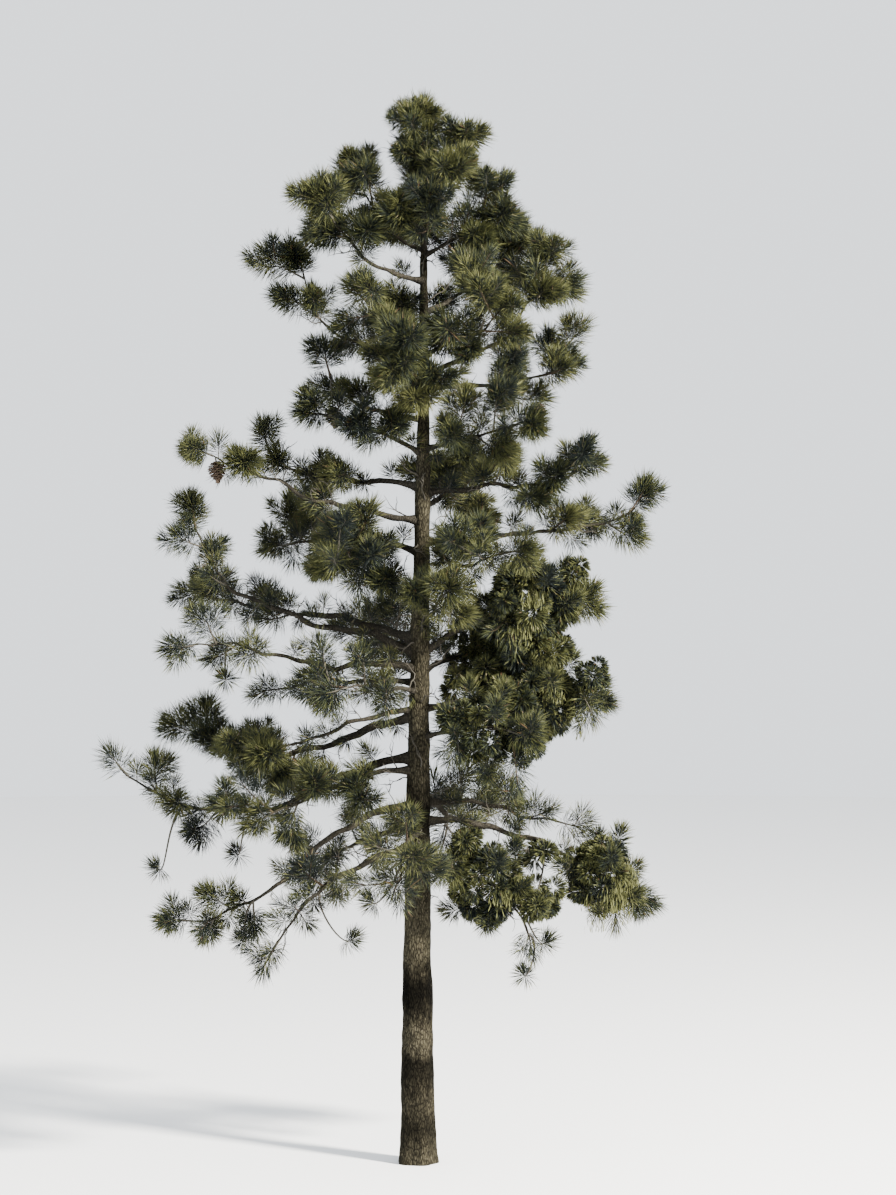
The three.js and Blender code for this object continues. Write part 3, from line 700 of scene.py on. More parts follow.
for row in MASSES:
    bough = boughs.get(row["name"])
    points = point_on(row["line"], np.linspace(0, 1, STEM_POINTS))
    thick = np.linspace(row["radius"], LIMB_TIP, STEM_POINTS)
    if bough:
        first = point_on(bough["line"], np.linspace(0, 1, BOUGH_POINTS))
        first_thick = np.linspace(bough["root_radius"], bough["tip_radius"], BOUGH_POINTS)
        points = np.concatenate([first[:-1], points])
        thick = np.concatenate([first_thick[:-1], thick])
    row["limb"] = wander(points)
    row["stem"] = row["limb"][-STEM_POINTS:]
    from_middle = np.linalg.norm(row["limb"] - row["limb"][0], axis=1)
    from_bark = np.clip(from_middle - trunk_radius(points[0][2]), 0, None)
    collar = 1 + COLLAR * np.exp(-from_bark / COLLAR_REACH)
    swellings = 1 + SWELLING * np.sin(np.cumsum(0.4 + detail.random(len(thick))))
    row["thick"] = thick * collar * swellings
longest = max(length_through(row["limb"]) for row in MASSES)
print("The longest limb measures", round(longest, 2), "m")

# %% [markdown]
# A bough and the stem that goes on from it become one limb, drawn as a curve with a radius at each
# point, which is then turned into a mesh. Skin and Subdivision modifiers could do this too, but a
# curve keeps the thickness that it is told, and stays light.

# %% Limbs as curves with a thickness
start_alone()
limbs = []
for row in MASSES:
    curve = bpy.data.curves.new("limb", "CURVE")
    curve.dimensions, curve.bevel_depth, curve.bevel_resolution = "3D", 1.0, 3
    curve.use_fill_caps = True
    spline = curve.splines.new("POLY")
    spline.points.add(len(row["limb"]) - 1)
    for point, place, radius in zip(spline.points, row["limb"], row["thick"]):
        point.co = (*place, 1)
        point.radius = radius
    limb = bpy.data.objects.new("limb", curve)
    bpy.context.collection.objects.link(limb)
    limbs.append(limb)
only(*limbs)
bpy.ops.object.convert(target="MESH")
bpy.ops.object.join()
boughs_piece = bpy.context.object
boughs_piece.name = boughs_piece.data.name = "boughs_with_bark"
add_relief(boughs_piece, "CLOUDS", size=0.05, strength=0.007)
only(boughs_piece)
bpy.ops.object.shade_smooth()
cover(boughs_piece, limb_bark)
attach(boughs_piece, "root")
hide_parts(*["bough_" + name for name in BOUGHS])
print("The limbs have", len(boughs_piece.data.polygons), "faces")

# %% [markdown]
# ## Needles
#
# A pine like this bears its needles in brushes. It has far too many of them for one object each,
# and copies by a geometry node would hide them from other programs, so they are drawn as arrays of
# points and joined. A heap gathers the triangles of many shoots, each with the number of its tint,
# and makes one mesh of them.

# %% Gathering triangles
class Heap:
    """Gathers triangles, each with a tint, to be joined into one mesh."""

    def __init__(self):
        self.points, self.triangles, self.tints, self.size = [], [], [], 0

    def add(self, points, triangles, tint):
        self.points.append(points)
        self.triangles.append(triangles + self.size)
        self.tints.append(np.broadcast_to(tint, len(triangles)))
        self.size += len(points)

    def count(self):
        """How many triangles the heap has so far."""
        return sum(len(triangles) for triangles in self.triangles)

    def make(self, name, materials, smooth=False):
        """The joined mesh as a piece of the tree."""
        points, corners = np.concatenate(self.points), np.concatenate(self.triangles)
        mesh = bpy.data.meshes.new(name)
        mesh.vertices.add(len(points))
        mesh.vertices.foreach_set("co", points.ravel())
        mesh.loops.add(corners.size)
        mesh.loops.foreach_set("vertex_index", corners.ravel())
        mesh.polygons.add(len(corners))
        mesh.polygons.foreach_set("loop_start", np.arange(0, corners.size, 3))
        for material in materials:
            mesh.materials.append(material)
        mesh.polygons.foreach_set("material_index", np.concatenate(self.tints))
        mesh.polygons.foreach_set("use_smooth", np.full(len(corners), smooth))
        mesh.update(calc_edges=True)
        piece = bpy.data.objects.new(name, mesh)
        bpy.context.collection.objects.link(piece)
        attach(piece, "root")
        print(name, "has", len(corners), "triangles")
        return piece


def tube(points, radii, sides):
    """The points and triangles of a thin twig along a line."""
    tangents = unit(np.gradient(points, axis=0))
    side = across(tangents[0])[0]
    turns = 2 * np.pi * np.arange(sides) / sides
    rings = []
    for place, tangent, radius in zip(points, tangents, radii):
        side = unit(side - tangent * (side @ tangent))
        other = np.cross(tangent, side)
        round_it = np.cos(turns)[:, None] * side + np.sin(turns)[:, None] * other
        rings.append(place + radius * round_it)
    a = (np.arange(len(points) - 1)[:, None] * sides + np.arange(sides)).ravel()
    b = (np.arange(len(points) - 1)[:, None] * sides + (np.arange(sides) + 1) % sides).ravel()
    faces = np.concatenate([np.stack([a, b, b + sides], 1), np.stack([a, b + sides, a + sides], 1)])
    return np.concatenate(rings), faces


def add_twig(twigs, line, thickness, sides, tint):
    """A twig along a line, that thins out from the first radius to the second."""
    twigs.add(*tube(line, np.linspace(*thickness, len(line)), sides), tint)


def bow(start, leave, end, arrive, count):
    """The points of a line that leaves its start and arrives at its end in given directions."""
    return point_on(limb_line(start, leave, end, arrive), np.linspace(0, 1, count))


def along_line(line, share):
    """The points at some shares of a row of points, and the line's direction there."""
    at = np.asarray(share) * (len(line) - 1)
    low = np.clip(at.astype(int), 0, len(line) - 2)
    step = line[low + 1] - line[low]
    return line[low] + step * (at - low)[..., None], unit(step)


# %% [markdown]
# The tints are plain colours, dealt out shoot by shoot: a dark blue-green, two olives, and a
# yellower green on young shoots. They lie close together, because on the real tree it is the light
# that makes most of the difference. The dark blue-green is also painted shade: it colours the inner
# part of most needles and the middle of some clusters, where shade falls. A few single needles
# carry a painted
# highlight: they are bright, as if they caught the sun. Fewer are straw or rust, for those that
# have died. Twigs keep a grey and a brown. Plain colours on many small blades read as one living
# surface, and a texture on each would be lost.

# %% Tints
TINTS = {
    # this dark blue-green is a shoot tint and also the painted shade inside brushes and lumps
    "needle_deep_and_shade": (0.0055, 0.008, 0.0075),
    "needle_green": (0.0215, 0.026, 0.0115),
    "needle_olive": (0.038, 0.041, 0.0135),
    "needle_young": (0.072, 0.074, 0.027),
    "needle_straw": (0.15, 0.13, 0.075),
    "needle_rust": (0.085, 0.05, 0.026),
}
needle_tints = [
    new_material(name, color, roughness=0.6, specular=0.12)[0] for name, color in TINTS.items()
]
twig_tints = [
    new_material("twig_grey", (0.05, 0.045, 0.036), roughness=0.85, specular=0.2)[0],
    new_material("twig_brown", (0.05, 0.034, 0.022), roughness=0.85, specular=0.2)[0],
]
DEEP_AND_SHADE, GREEN, OLIVE, YOUNG, STRAW, RUST = range(len(TINTS))
GREY, BROWN = range(len(twig_tints))
OPEN_MIX = [0.08, 0.42, 0.42, 0.08]  # the shares of shoots from the deep tint to the young one
DEAD_SHARE, PAINTED_HIGHLIGHT_SHARE = 0.012, 0.09  # of all needles: dead ones, and ones with a painted highlight
INNER_PAINTED_SHADE = 0.8  # the share of needles whose inner part is painted shade, in the darkest tint
print("There are", len(needle_tints), "tints for needles and", len(twig_tints), "for twigs")


def pick_tint(mix):
    return int(detail.choice(len(mix), p=mix))


def scatter_tints(count, tint):
    """The tint of each of a shoot's blades: most have the shoot's own, some the next one."""
    tints = tint + detail.choice([-1, 0, 1], count, p=[0.25, 0.5, 0.25])
    tints = np.clip(tints, DEEP_AND_SHADE, YOUNG)
    # Painted highlights: a few blades take the young tint, as if they caught the sun.
    tints[detail.random(count) < PAINTED_HIGHLIGHT_SHARE] = YOUNG
    dead = detail.random(count) < DEAD_SHARE
    tints[dead] = np.where(detail.random(dead.sum()) < 0.5, STRAW, RUST)
    return tints


# %% [markdown]
# A few old cones hang below their stems, and needles that stood across them would hide them. So the
# places of the cones are fixed before the needles grow.

# %% Room for the cones
CONE_HANGS = {"left_knee": 0.28, "left_cone": 0.05, "right_cone": 0.28}  # how far below the stem
CONE_ROOM = 0.17  # needles whose outer part is nearer than this to a cone's middle are left out

for row in MASSES:
    if row["cone"]:
        row["cone_top"] = along_line(row["stem"], CONE_ALONG)[0] - UP * CONE_HANGS[row["name"]]
cone_middles = [row["cone_top"] - UP * CONE_LENGTH / 2 for row in MASSES if row["cone"]]
print(len(cone_middles), "places are kept clear for cones")

# %% [markdown]
# A shoot stays leafy for as long as its needles live, some three or four years' growth: at the back
# they stand straight out, towards the tip they lean forwards, and at the very tip they fan. One
# needle is a bent blade of two triangles, wider than a real one, because it stands for the three
# needles of a bundle. A needle made as a round stick would need four times as many triangles.

# %% A brush of needles
NEEDLE_WIDTH, WIDEST = 0.0064, 0.55  # the last is where on its length a blade is widest
BLADE = np.array([[0, 1, 2], [1, 3, 2]])
LEAN_BACK, LEAN_TIP, LEAN_STRAY = 84.0, 20.0, 7.0  # degrees away from the shoot
NEEDLE_SHARES, REACH_SHARES = (0.72, 1.05), (0.82, 1.04)  # of the full length and of the reach
FORWARD, SAG, STRAY = 0.2, 0.12, 0.07  # how the outer half of a needle bends
PAST = 0.09  # how far needles may pass the box round the solids
low_corner, high_corner = np.array(cad_box[0]) - PAST, np.array(cad_box[1]) + PAST


def brush(heap, line, count, long, centre, reach, tint):
    """Needles all round the shoot along `line`. Near `centre` they end within `reach` of it."""
    share = ((np.arange(count) + detail.random(count)) / count) ** 0.85  # denser at the tip
    place, axis = along_line(line, share)
    level = unit(np.cross(axis, UP + 1e-3))
    steep = np.cross(level, axis)
    lean = lerp(LEAN_BACK, LEAN_TIP, share**1.4)
    lean = lean + detail.normal(0, LEAN_STRAY, count) * (1 + 1.4 * share)
    lean = np.radians(lean)[:, None]
    turn = (np.arange(count) * GOLDEN_ANGLE + detail.random(count))[:, None]
    direction = np.cos(lean) * axis + np.sin(lean) * (np.cos(turn) * level + np.sin(turn) * steep)
    away, limit = place - centre, reach * detail.uniform(*REACH_SHARES, count)
    far, b = (away * away).sum(1), (away * direction).sum(1)
    room = np.sqrt(np.maximum(b * b - far + limit**2, 0)) - b
    room = np.where(far < limit**2, room, long * 0.8)
    length = np.minimum(long * detail.uniform(*NEEDLE_SHARES, count), room)[:, None]
    stray = detail.normal(0, STRAY, (count, 3))
    bend = unit(direction + FORWARD * axis - SAG * UP + stray)
    side = unit(np.cross(direction, detail.normal(0, 1, (count, 3)))) * NEEDLE_WIDTH / 2
    middle = place + direction * length * WIDEST
    end = middle + bend * length * (1 - WIDEST)
    points = np.stack([place, middle - side, middle + side, end], 1)
    outer = scatter_tints(count, tint)
    # Painted shade: the inner triangle of most needles takes the darkest tint, as if shaded within
    # the brush.
    inner = np.where(detail.random(count) < INNER_PAINTED_SHADE, DEEP_AND_SHADE, outer)
    kept = np.all((end > low_corner) & (end < high_corner), axis=1)
    for cone_middle in cone_middles:
        kept &= np.linalg.norm((middle + end) / 2 - cone_middle, axis=1) > CONE_ROOM
    points, tints = points[kept], np.stack([inner, outer], 1)[kept]
    faces = BLADE + 4 * np.arange(len(points))[:, None, None]
    heap.add(points.reshape(-1, 3), faces.reshape(-1, 3), tints.ravel())


# %% [markdown]
# Foliage isn't equally full all over the tree. The sky shows through the masses low on it and
# through some higher up, and twigs in the shade end in thin stars. A table gives the share of
# needles of the sparse masses, because no rule of height or side would place the gaps so.

# %% How full a tuft is
THIN_SHARE, THIN = 0.15, 0.4  # how many tufts in the shade are thin, and their share of needles
SHADED, HANGS = 6.5, -0.9  # below this height is shade, and past this slope a tuft hangs
FULL_LIGHT, FULL_SHADE = (0.9, 1.2), (0.8, 1.1)
SPARSE = {
    "left_veil": 0.6, "left_high": 0.75, "left_knee": 0.7, "left_straight": 0.75, "left_hook": 0.75,
    "left_level": 0.5, "left_mid": 0.55, "left_inner": 0.55, "left_outer": 0.8, "left_long": 0.65,
    "left_arched": 0.75, "left_skirt": 0.55, "left_hanging": 0.6, "right_low": 0.45,
    "right_cone": 0.8, "right_under": 0.6, "right_rear": 0.8, "front_low": 0.6, "back_high": 0.75,
    "back_low": 0.75, "back_foot": 0.6,
}
print(len(SPARSE), "of the", len(MASSES), "masses are sparse")


def fullness_of(row, height, slope):
    """The share of its needles that a tuft bears."""
    share = SPARSE.get(row["name"], 1.0)
    if height > SHADED:
        full = share * detail.uniform(*FULL_LIGHT)
    else:
        full = THIN if detail.random() < THIN_SHARE else share * detail.uniform(*FULL_SHADE)
    return THIN if slope < HANGS else full


# %% [markdown]
# Each tuft of the solids becomes a twig with a full brush from about its middle to beyond its end,
# and finer shoots that leave it by the same golden angle, each with a brush of its own: three as a
# rule, one on a thin tuft, and more at the tree's top, which has the most light. The leader is the
# uppermost twig. Its shoots stand straight out below its tip, and the tufts beside it stay lower,
# so that the tree ends in a point.

# %% One tuft with its finer shoots
SIDE_SHOOTS, SHOOT, SHOOT_REACH = 3, 0.22, 0.21
MAIN_NEEDLES, SIDE_NEEDLES, NEEDLE, MARGIN = 540, 240, 0.25, 0.07
TWIG_THICK, SHOOT_THICK, TWIG_POINTS = (0.0125, 0.004), (0.0045, 0.0026), 11
TOP, TOP_WIDTH, LEADER_WIDTH, LEADER_SHOOTS = 9.0, 1.35, 0.6, 6
BESIDE_LEADER, BESIDE_LONG, BESIDE_REACH = 0.6, 0.85, 0.8
SHORTER, SHORT = 0.85, 0.8  # the needles of finer shoots and of shaded ones, as shares
NEARLY_ROUND = 6.28  # a random turn in radians needs no more digits


def grow_tuft(needles, twigs, row, sprig):
    root = sprig["root"]
    if not sprig["forked"]:
        share = LAST_SPRIG if sprig["share"] == 1.0 else sprig["share"]
        root = along_line(row["stem"], share)[0]
    end, axis = sprig["end"], sprig["axis"]
    leader = row["name"] == "top" and sprig["share"] == 1
    beside_leader = row["name"] == "top" and not leader
    if beside_leader:
        end = lerp(root, end, BESIDE_LEADER)
    tint, full = pick_tint(OPEN_MIX), fullness_of(row, end[2], axis[2])
    wide = LEADER_WIDTH if leader else TOP_WIDTH if end[2] > TOP else 1.0
    reach = (OPEN["reach"] + MARGIN) * max(1, lerp(1, wide, 0.4))
    twig = bow(root, unit(end - root), end + axis * 0.1, axis, TWIG_POINTS)
    add_twig(twigs, twig, TWIG_THICK, 5, BROWN if detail.random() < 0.3 else GREY)
    long = NEEDLE * detail.uniform(0.85, 1.1)
    if beside_leader:
        long, reach = long * BESIDE_LONG, reach * BESIDE_REACH
    brush(needles, twig[3:], int(MAIN_NEEDLES * full), long, end, reach, tint)
    shoots = LEADER_SHOOTS if leader else 1 if full == THIN else round(SIDE_SHOOTS * wide**3)
    for k in range(shoots):
        at = lerp(0.4, 0.8, (k + detail.random()) / shoots)
        base = twig[int(round((TWIG_POINTS - 1) * at))]
        out = outwards(axis, k * GOLDEN_ANGLE + NEARLY_ROUND * detail.random())
        ahead = unit(out + axis * (0 if leader else 0.7) + UP * 0.25)
        top = base + ahead * wide * SHOOT * detail.uniform(0.8, 1.2)
        top = end + (top - end) * min(1.0, wide * SHOOT_REACH / np.linalg.norm(top - end))
        shoot = bow(base, ahead, top, unit(ahead + UP * 0.4), 5)
        add_twig(twigs, shoot, SHOOT_THICK, 4, BROWN if detail.random() < 0.4 else GREY)
        near = tint if detail.random() < 0.6 else pick_tint(OPEN_MIX)
        brush(needles, shoot[1:], int(SIDE_NEEDLES * full), long * SHORTER, end, reach, near)


# %% [markdown]
# Between its twigs a leafy stem bears short shoots of its own. They close the masses at the tree's
# top, where the foliage is so full that no stem shows: there they are more and longer, and may
# stand among the needles of a neighbour.

# %% Short shoots along the stems
EVERY, SHORT_NEEDLES, SHORT_REACH = 0.15, 160, 0.22
CLOSED = {"top", "top_right", "top_front", "top_back", "right_upper", "right_twin", "right_high"}
CLOSED_MORE, CLOSED_LONGER = 3, 1.6
SHORT_SPACE = 0.1  # the room that a short shoot needs outside the closed masses


def grow_short_shoots(needles, twigs, row):
    line, bare = row["stem"], row["twigs"][0]
    closed = row["name"] in CLOSED
    more, longer = (CLOSED_MORE, CLOSED_LONGER) if closed else (1, 1)
    count = int((1 - bare) * length_through(line) / EVERY * more)
    for k in range(count):
        base, along = along_line(line, lerp(bare, 0.85, (k + detail.random()) / count))
        out = outwards(along, k * GOLDEN_ANGLE + detail.random())
        ahead = unit(out + along * 0.5 + UP * 0.2)
        top = base + ahead * detail.uniform(0.09, 0.2) * longer
        kept = detail.random() < SPARSE.get(row["name"], 1.0) ** 2
        if not kept or not is_clear(top, top, 0.0 if closed else SHORT_SPACE, row["number"]):
            continue
        shoot = bow(base, ahead, top, unit(ahead + UP * 0.5), 5)
        add_twig(twigs, shoot, SHOOT_THICK, 4, BROWN)
        tint = pick_tint(OPEN_MIX)
        brush(needles, shoot[1:], SHORT_NEEDLES, NEEDLE * SHORTER, top, SHORT_REACH, tint)


# %% [markdown]
# A limb is never quite bare: here and there on its inner part a short twig is still alive, and
# bears a small brush with short needles. Such brushes soften the long dark lines of the limbs, and
# break the gap round the trunk, as they do on a real pine.

# %% Small tufts on the bare limbs
SMALL_APART, SMALL_THICK = 0.4, (0.006, 0.003)
SMALL_NEEDLES, SMALL_NEEDLE, SMALL_REACH = 120, 0.18, 0.2


def grow_small_tufts(needles, twigs, row):
    limb = row["limb"]
    for _ in range(int(length_through(limb) / SMALL_APART)):
        base, along = along_line(limb, detail.uniform(0.08, 0.7))
        out = unit(outwards(along, 2 * math.pi * detail.random()) + along * 0.5)
        end = base + out * detail.uniform(0.06, 0.2) + UP * 0.03
        shoot = bow(base, out, end, unit(out + UP * 0.6), 7)
        add_twig(twigs, shoot, SMALL_THICK, 4, GREY)
        tint = pick_tint(OPEN_MIX)
        brush(needles, shoot[2:], SMALL_NEEDLES, SMALL_NEEDLE, end, SMALL_REACH, tint)


# %% [markdown]
# ## Dense foliage
#
# Low on one side the foliage is shorter and closes into lumpy masses that droop. There each lump is
# a bunch of short sprays that stand out like the ribs of a fan. They are thin inside and thick at
# their ends, so that the lump closes at its surface and stays dark within, and its edge is cut into
# small teeth. The inner part of many sprays is painted shade, in the darkest tint. A plain ball
# with a bumpy surface would close too, but its edge would look cut.

# %% A lump of short sprays
DENSE_MIX = [0.05, 0.35, 0.5, 0.1]  # the shares of lumps from the deep tint to the young one
RIB_WIDTH, RIB_WIDEST, RIBS = 0.0092, 0.76, 2700  # the last is the count on a square metre
BUNDLES, LUMP_BACK, DROOP = 40, -0.45, 0.12
RIB_PAINTED_SHADE, CURTAIN_PAINTED_SHADE = 0.45, 0.15  # shares of blades whose inner part is painted shade


def add_ribs(heap, place, direction, length, tint, inner):
    """Blades that are thickest near their ends, each of an inner and an outer triangle."""
    count = len(place)
    side = unit(np.cross(direction, detail.normal(0, 1, (count, 3)))) * RIB_WIDTH / 2
    middle, end = place + direction * length * RIB_WIDEST, place + direction * length
    points = np.stack([place, middle - side, middle + side, end], 1)
    faces = BLADE + 4 * np.arange(count)[:, None, None]
    outer = scatter_tints(count, tint)
    # Painted shade: the inner triangle of some blades takes the darkest tint.
    inner = np.where(detail.random(count) < inner, DEEP_AND_SHADE, outer)
    heap.add(points.reshape(-1, 3), faces.reshape(-1, 3), np.stack([inner, outer], 1).ravel())


def spread_round(count):
    """Directions that are spread evenly over a ball."""
    height = 1 - 2 * (np.arange(count) + 0.5) / count
    turn = np.arange(count) * GOLDEN_ANGLE
    out = np.sqrt(1 - height**2)
    return np.stack([out * np.cos(turn), out * np.sin(turn), height], 1)


def grow_lump(heap, centre, radius, towards, tint):
    """Sprays that stand out all round a point but for its back, and droop a little."""
    count = int(RIBS * 4 * math.pi * radius**2)
    out = unit(spread_round(count) + detail.normal(0, 0.1, (count, 3)))
    out = out[out @ towards > LUMP_BACK]
    bundles = unit(spread_round(BUNDLES) + detail.normal(0, 0.1, (BUNDLES, 3)))
    nearest = bundles[np.argmax(out @ bundles.T, axis=1)]
    out = unit(lerp(out, nearest, 0.3))
    ribbed = 0.9 + 0.14 * (out * nearest).sum(1, keepdims=True)
    far = radius * detail.normal(1.0, 0.07, (len(out), 1)) * ribbed
    start = centre + out * far * 0.3
    end = centre + out * far - UP * DROOP * radius
    along = end - start
    length = np.linalg.norm(along, axis=1, keepdims=True)
    add_ribs(heap, start, along / length, length, tint, RIB_PAINTED_SHADE)


# %% [markdown]
# From the outer side of such a mass hang curtains of thin sprays that catch the light. A curtain is
# a short row of blades that all point down, one before the other.

# %% A curtain
PER_CURTAIN, HALF_CURTAIN = 90, 0.11


def grow_curtain(heap, start, aside, long, tint):
    """A row of sprays to both sides of `start` along `aside`, that hangs down as far as `long`."""
    share, drop = detail.uniform(-1, 1, (PER_CURTAIN, 1)), detail.random((PER_CURTAIN, 1))
    stray = detail.normal(0, 0.02, (PER_CURTAIN, 3))
    place = start + aside * share * HALF_CURTAIN - UP * drop * long + stray
    direction = unit(detail.normal(0, 0.16, (PER_CURTAIN, 3)) - UP)
    length = detail.uniform(0.06, 0.11, (PER_CURTAIN, 1))
    add_ribs(heap, place, direction, length, tint, CURTAIN_PAINTED_SHADE)


# %% [markdown]
# Lumps cover the heart of a dense mass, and bridges of lumps close it up with its neighbours, since
# the boughs of such a tree grow into one another. Every other twig ends in a cluster of lumps round
# one in painted shade, the darkest tint, so that the sky doesn't show through it. The other twigs
# keep their long needles, and a few brushes stand out of the heart.

# %% A dense mass
LUMPS, LUMP_SIZES = 24, (0.36, 0.52)  # the sizes are shares of the heart's radius
HANG = 1.08  # how much longer the lumps hang than they stand out
CURTAINS, OTHER_CURTAINS = {"right_outer": 10, "right_skirt": 1, "right_under": 0}, 3
NEIGHBOUR, BRIDGES, BRIDGE_OUT, BRIDGE_SIZE = 1.35, 7, 0.28, 0.15
BRUSHES, BRUSH_SHARE, BRUSH_REACH = 8, 0.6, 0.34
CLUSTER, CLUSTER_SIZE, CLUSTER_THICK = 5, 0.12, (0.009, 0.004)


def bridge_lumps(row):
    """The middles of lumps that fill the gaps between this mass's heart and its neighbours'."""
    middles = []
    for other in MASSES:
        if other["core"] and other["number"] > row["number"]:
            between = other["heart"] - row["heart"]
            apart = np.linalg.norm(between)
            if apart < NEIGHBOUR:
                middle = row["heart"] + between * row["core"] / (row["core"] + other["core"])
                for k in range(BRIDGES):
                    turn = 2 * math.pi * (k + detail.random()) / BRIDGES
                    out = outwards(between / apart, turn)
                    middles.append((middle + out * BRIDGE_OUT, out))
    return middles


def grow_dense(needles, twigs, row):
    squash, core, heart = np.array([0.95, 1, HANG]), row["core"], row["heart"] - UP * 0.03
    count = int(LUMPS * SPARSE.get(row["name"], 1.0))
    for out in unit(spread_round(count) + detail.normal(0, 0.16, (count, 3))):
        size = core * detail.uniform(*LUMP_SIZES)
        centre = heart + out * squash * (core * detail.uniform(1.05, 1.3) - size * 0.8)
        grow_lump(needles, centre, size, out, pick_tint(DENSE_MIX))
    for middle, out in bridge_lumps(row):
        grow_lump(needles, middle, BRIDGE_SIZE, out, pick_tint(DENSE_MIX))
    for _ in range(CURTAINS.get(row["name"], OTHER_CURTAINS)):
        turn = detail.uniform(-110, 110)
        out = heading(row["turn"] + turn, detail.uniform(-25, 45))
        start = heart + out * squash * core * 1.2
        grow_curtain(needles, start, unit(np.cross(out, UP)), detail.uniform(0.15, 0.35), YOUNG)
    count, long = int(MAIN_NEEDLES * BRUSH_SHARE), NEEDLE * SHORT
    for out in spread_round(BRUSHES) + detail.normal(0, 0.2, (BRUSHES, 3)):
        out = unit(out + 0.3 * heading(row["turn"], 0))
        base = heart + out * squash * core * 0.95
        shoot = bow(base, out, base + unit(out + 0.5 * UP) * 0.2, unit(out + UP), 5)
        brush(needles, shoot, count, long, base, BRUSH_REACH, pick_tint(OPEN_MIX))
    for k, sprig in enumerate(row["sprigs"]):
        if k % 2 == 0:
            grow_tuft(needles, twigs, row, sprig)
            continue
        end, along = sprig["end"], unit(sprig["end"] - sprig["root"])
        twig = bow(sprig["root"], along, end, sprig["axis"], 7)
        add_twig(twigs, twig, CLUSTER_THICK, 5, GREY)
        tint = pick_tint(DENSE_MIX)
        # Painted shade: the middle lump of the cluster takes the darkest tint.
        grow_lump(needles, end, CLUSTER_SIZE, UP, DEEP_AND_SHADE)
        for out in unit(spread_round(CLUSTER) + detail.normal(0, 0.2, (CLUSTER, 3))):
            grow_lump(needles, end + out * 0.1, CLUSTER_SIZE, out, tint)
        grow_lump(needles, lerp(sprig["root"], end, 0.6), 0.11, -UP, tint)


# %% [markdown]
# ## Bare and hanging twigs
#
# Under the crown's shade twigs die and stay on the tree for years: thin, curly and grey. They stand
# on the trunk and on the bare parts of the limbs. Each is a tube along a line that turns a little
# at every step, because that is how such a twig grew. Straight sticks would look like nails.

# %% A dead twig
DEAD_STEPS, CURLY = 8, 0.33
DEAD_THICK, DEAD_SLOPE, DEAD_TIP = 0.005, 0.011, 0.002
SIDE_TWIGS, TOO_SHORT = 2, 0.15  # a twig shorter than this has no side twigs


def dead_twig(twigs, start, ahead, long, side_twigs=SIDE_TWIGS):
    points = [start]
    for _ in range(DEAD_STEPS):
        ahead = unit(ahead + detail.normal(0, CURLY, 3) + 0.06 * UP)
        points.append(points[-1] + ahead * long / DEAD_STEPS)
    points = np.array(points)
    add_twig(twigs, points, (DEAD_THICK + DEAD_SLOPE * long, DEAD_TIP), 3, GREY)
    for _ in range(side_twigs if long > TOO_SHORT else 0):
        base, along = along_line(points, detail.uniform(0.3, 0.8))
        out = unit(along + detail.normal(0, 0.7, 3))
        dead_twig(twigs, base, out, long * detail.uniform(0.3, 0.5), 0)


DEAD_FROM, DEAD_TO = 2.7, 9.2
APART_ON_TRUNK, APART_ON_LIMB = 0.13, 0.2


def grow_dead_twigs(twigs):
    for k, height in enumerate(np.arange(DEAD_FROM, DEAD_TO, APART_ON_TRUNK)):
        turn = math.degrees(k * GOLDEN_ANGLE) + detail.uniform(-20, 20)
        out = heading(turn, detail.uniform(-10, 45))
        start = trunk_axis(height) + out * trunk_radius(height) * 0.8
        dead_twig(twigs, start, out, detail.uniform(0.15, 0.55))
    for row in MASSES:
        limb = row["limb"]
        for _ in range(int(length_through(limb) / APART_ON_LIMB)):
            base, along = along_line(limb, detail.uniform(0.12, 0.85))
            out = unit(outwards(along, NEARLY_ROUND * detail.random()) + 0.6 * along)
            dead_twig(twigs, base, out, detail.uniform(0.1, 0.38))


# %% [markdown]
# A few thin twigs low on the tree still live but hang far down in a bow, and turn up at the end
# with a small starry brush. They are so few that a table places them one by one.

# %% Hanging twigs
HANGING_THICK, HANGING_SHARE = (0.014, 0.0055), 0.45
# The limb, where on it, how far out from there the end hangs, to which side, and how far below.
HANGING = [
    ("left_long", 0.72, 0.3, 0.1, 0.62), ("left_long", 0.5, 0.25, -0.25, 0.45),
    ("left_hanging", 0.55, -0.2, 0.25, 0.5), ("left_arched", 0.6, 0.15, -0.2, 0.42),
    ("left_level", 0.75, 0.1, 0.1, 0.35), ("left_skirt", 0.6, -0.1, 0.3, 0.45),
    ("right_skirt", 0.7, 0.35, 0.15, 0.4), ("right_skirt", 0.95, -0.1, 0.2, 0.42),
    ("right_outer", 0.5, -0.1, -0.2, 0.6), ("right_low", 0.6, 0.1, 0.15, 0.4),
    ("front_low", 0.7, 0.1, -0.3, 0.35), ("back_foot", 0.5, -0.1, 0.2, 0.5),
]


def hang_twig(needles, twigs, row, share, outward, aside, drop):
    start = along_line(row["limb"], share)[0]
    out, side = heading(row["turn"], 0), heading(row["turn"] + 90, 0)
    end = start + out * outward + side * aside - UP * drop
    away = unit(end - start + UP * drop + 1e-6)
    line = bow(start, unit(0.8 * out - 0.3 * UP), end, unit(away + 1.6 * UP), 15)
    add_twig(twigs, line, HANGING_THICK, 5, GREY)
    count = int(MAIN_NEEDLES * HANGING_SHARE)
    brush(needles, line[11:], count, NEEDLE * SHORT, end, OPEN["reach"], GREEN)


# %% [markdown]
# ## Cones
#
# A cone is a spiral of woody scales, each with a thick end and a small prickle. One scale is
# modelled from a cube: its inner end is narrowed, its outer face inset, pushed out and drawn to the
# prickle. A cone sculpted in one piece would need many more faces for the same gaps.

# %% One scale
def copy_of(piece):
    """A copy with a mesh of its own."""
    copy = piece.copy()
    copy.data = piece.data.copy()
    bpy.context.collection.objects.link(copy)
    return copy


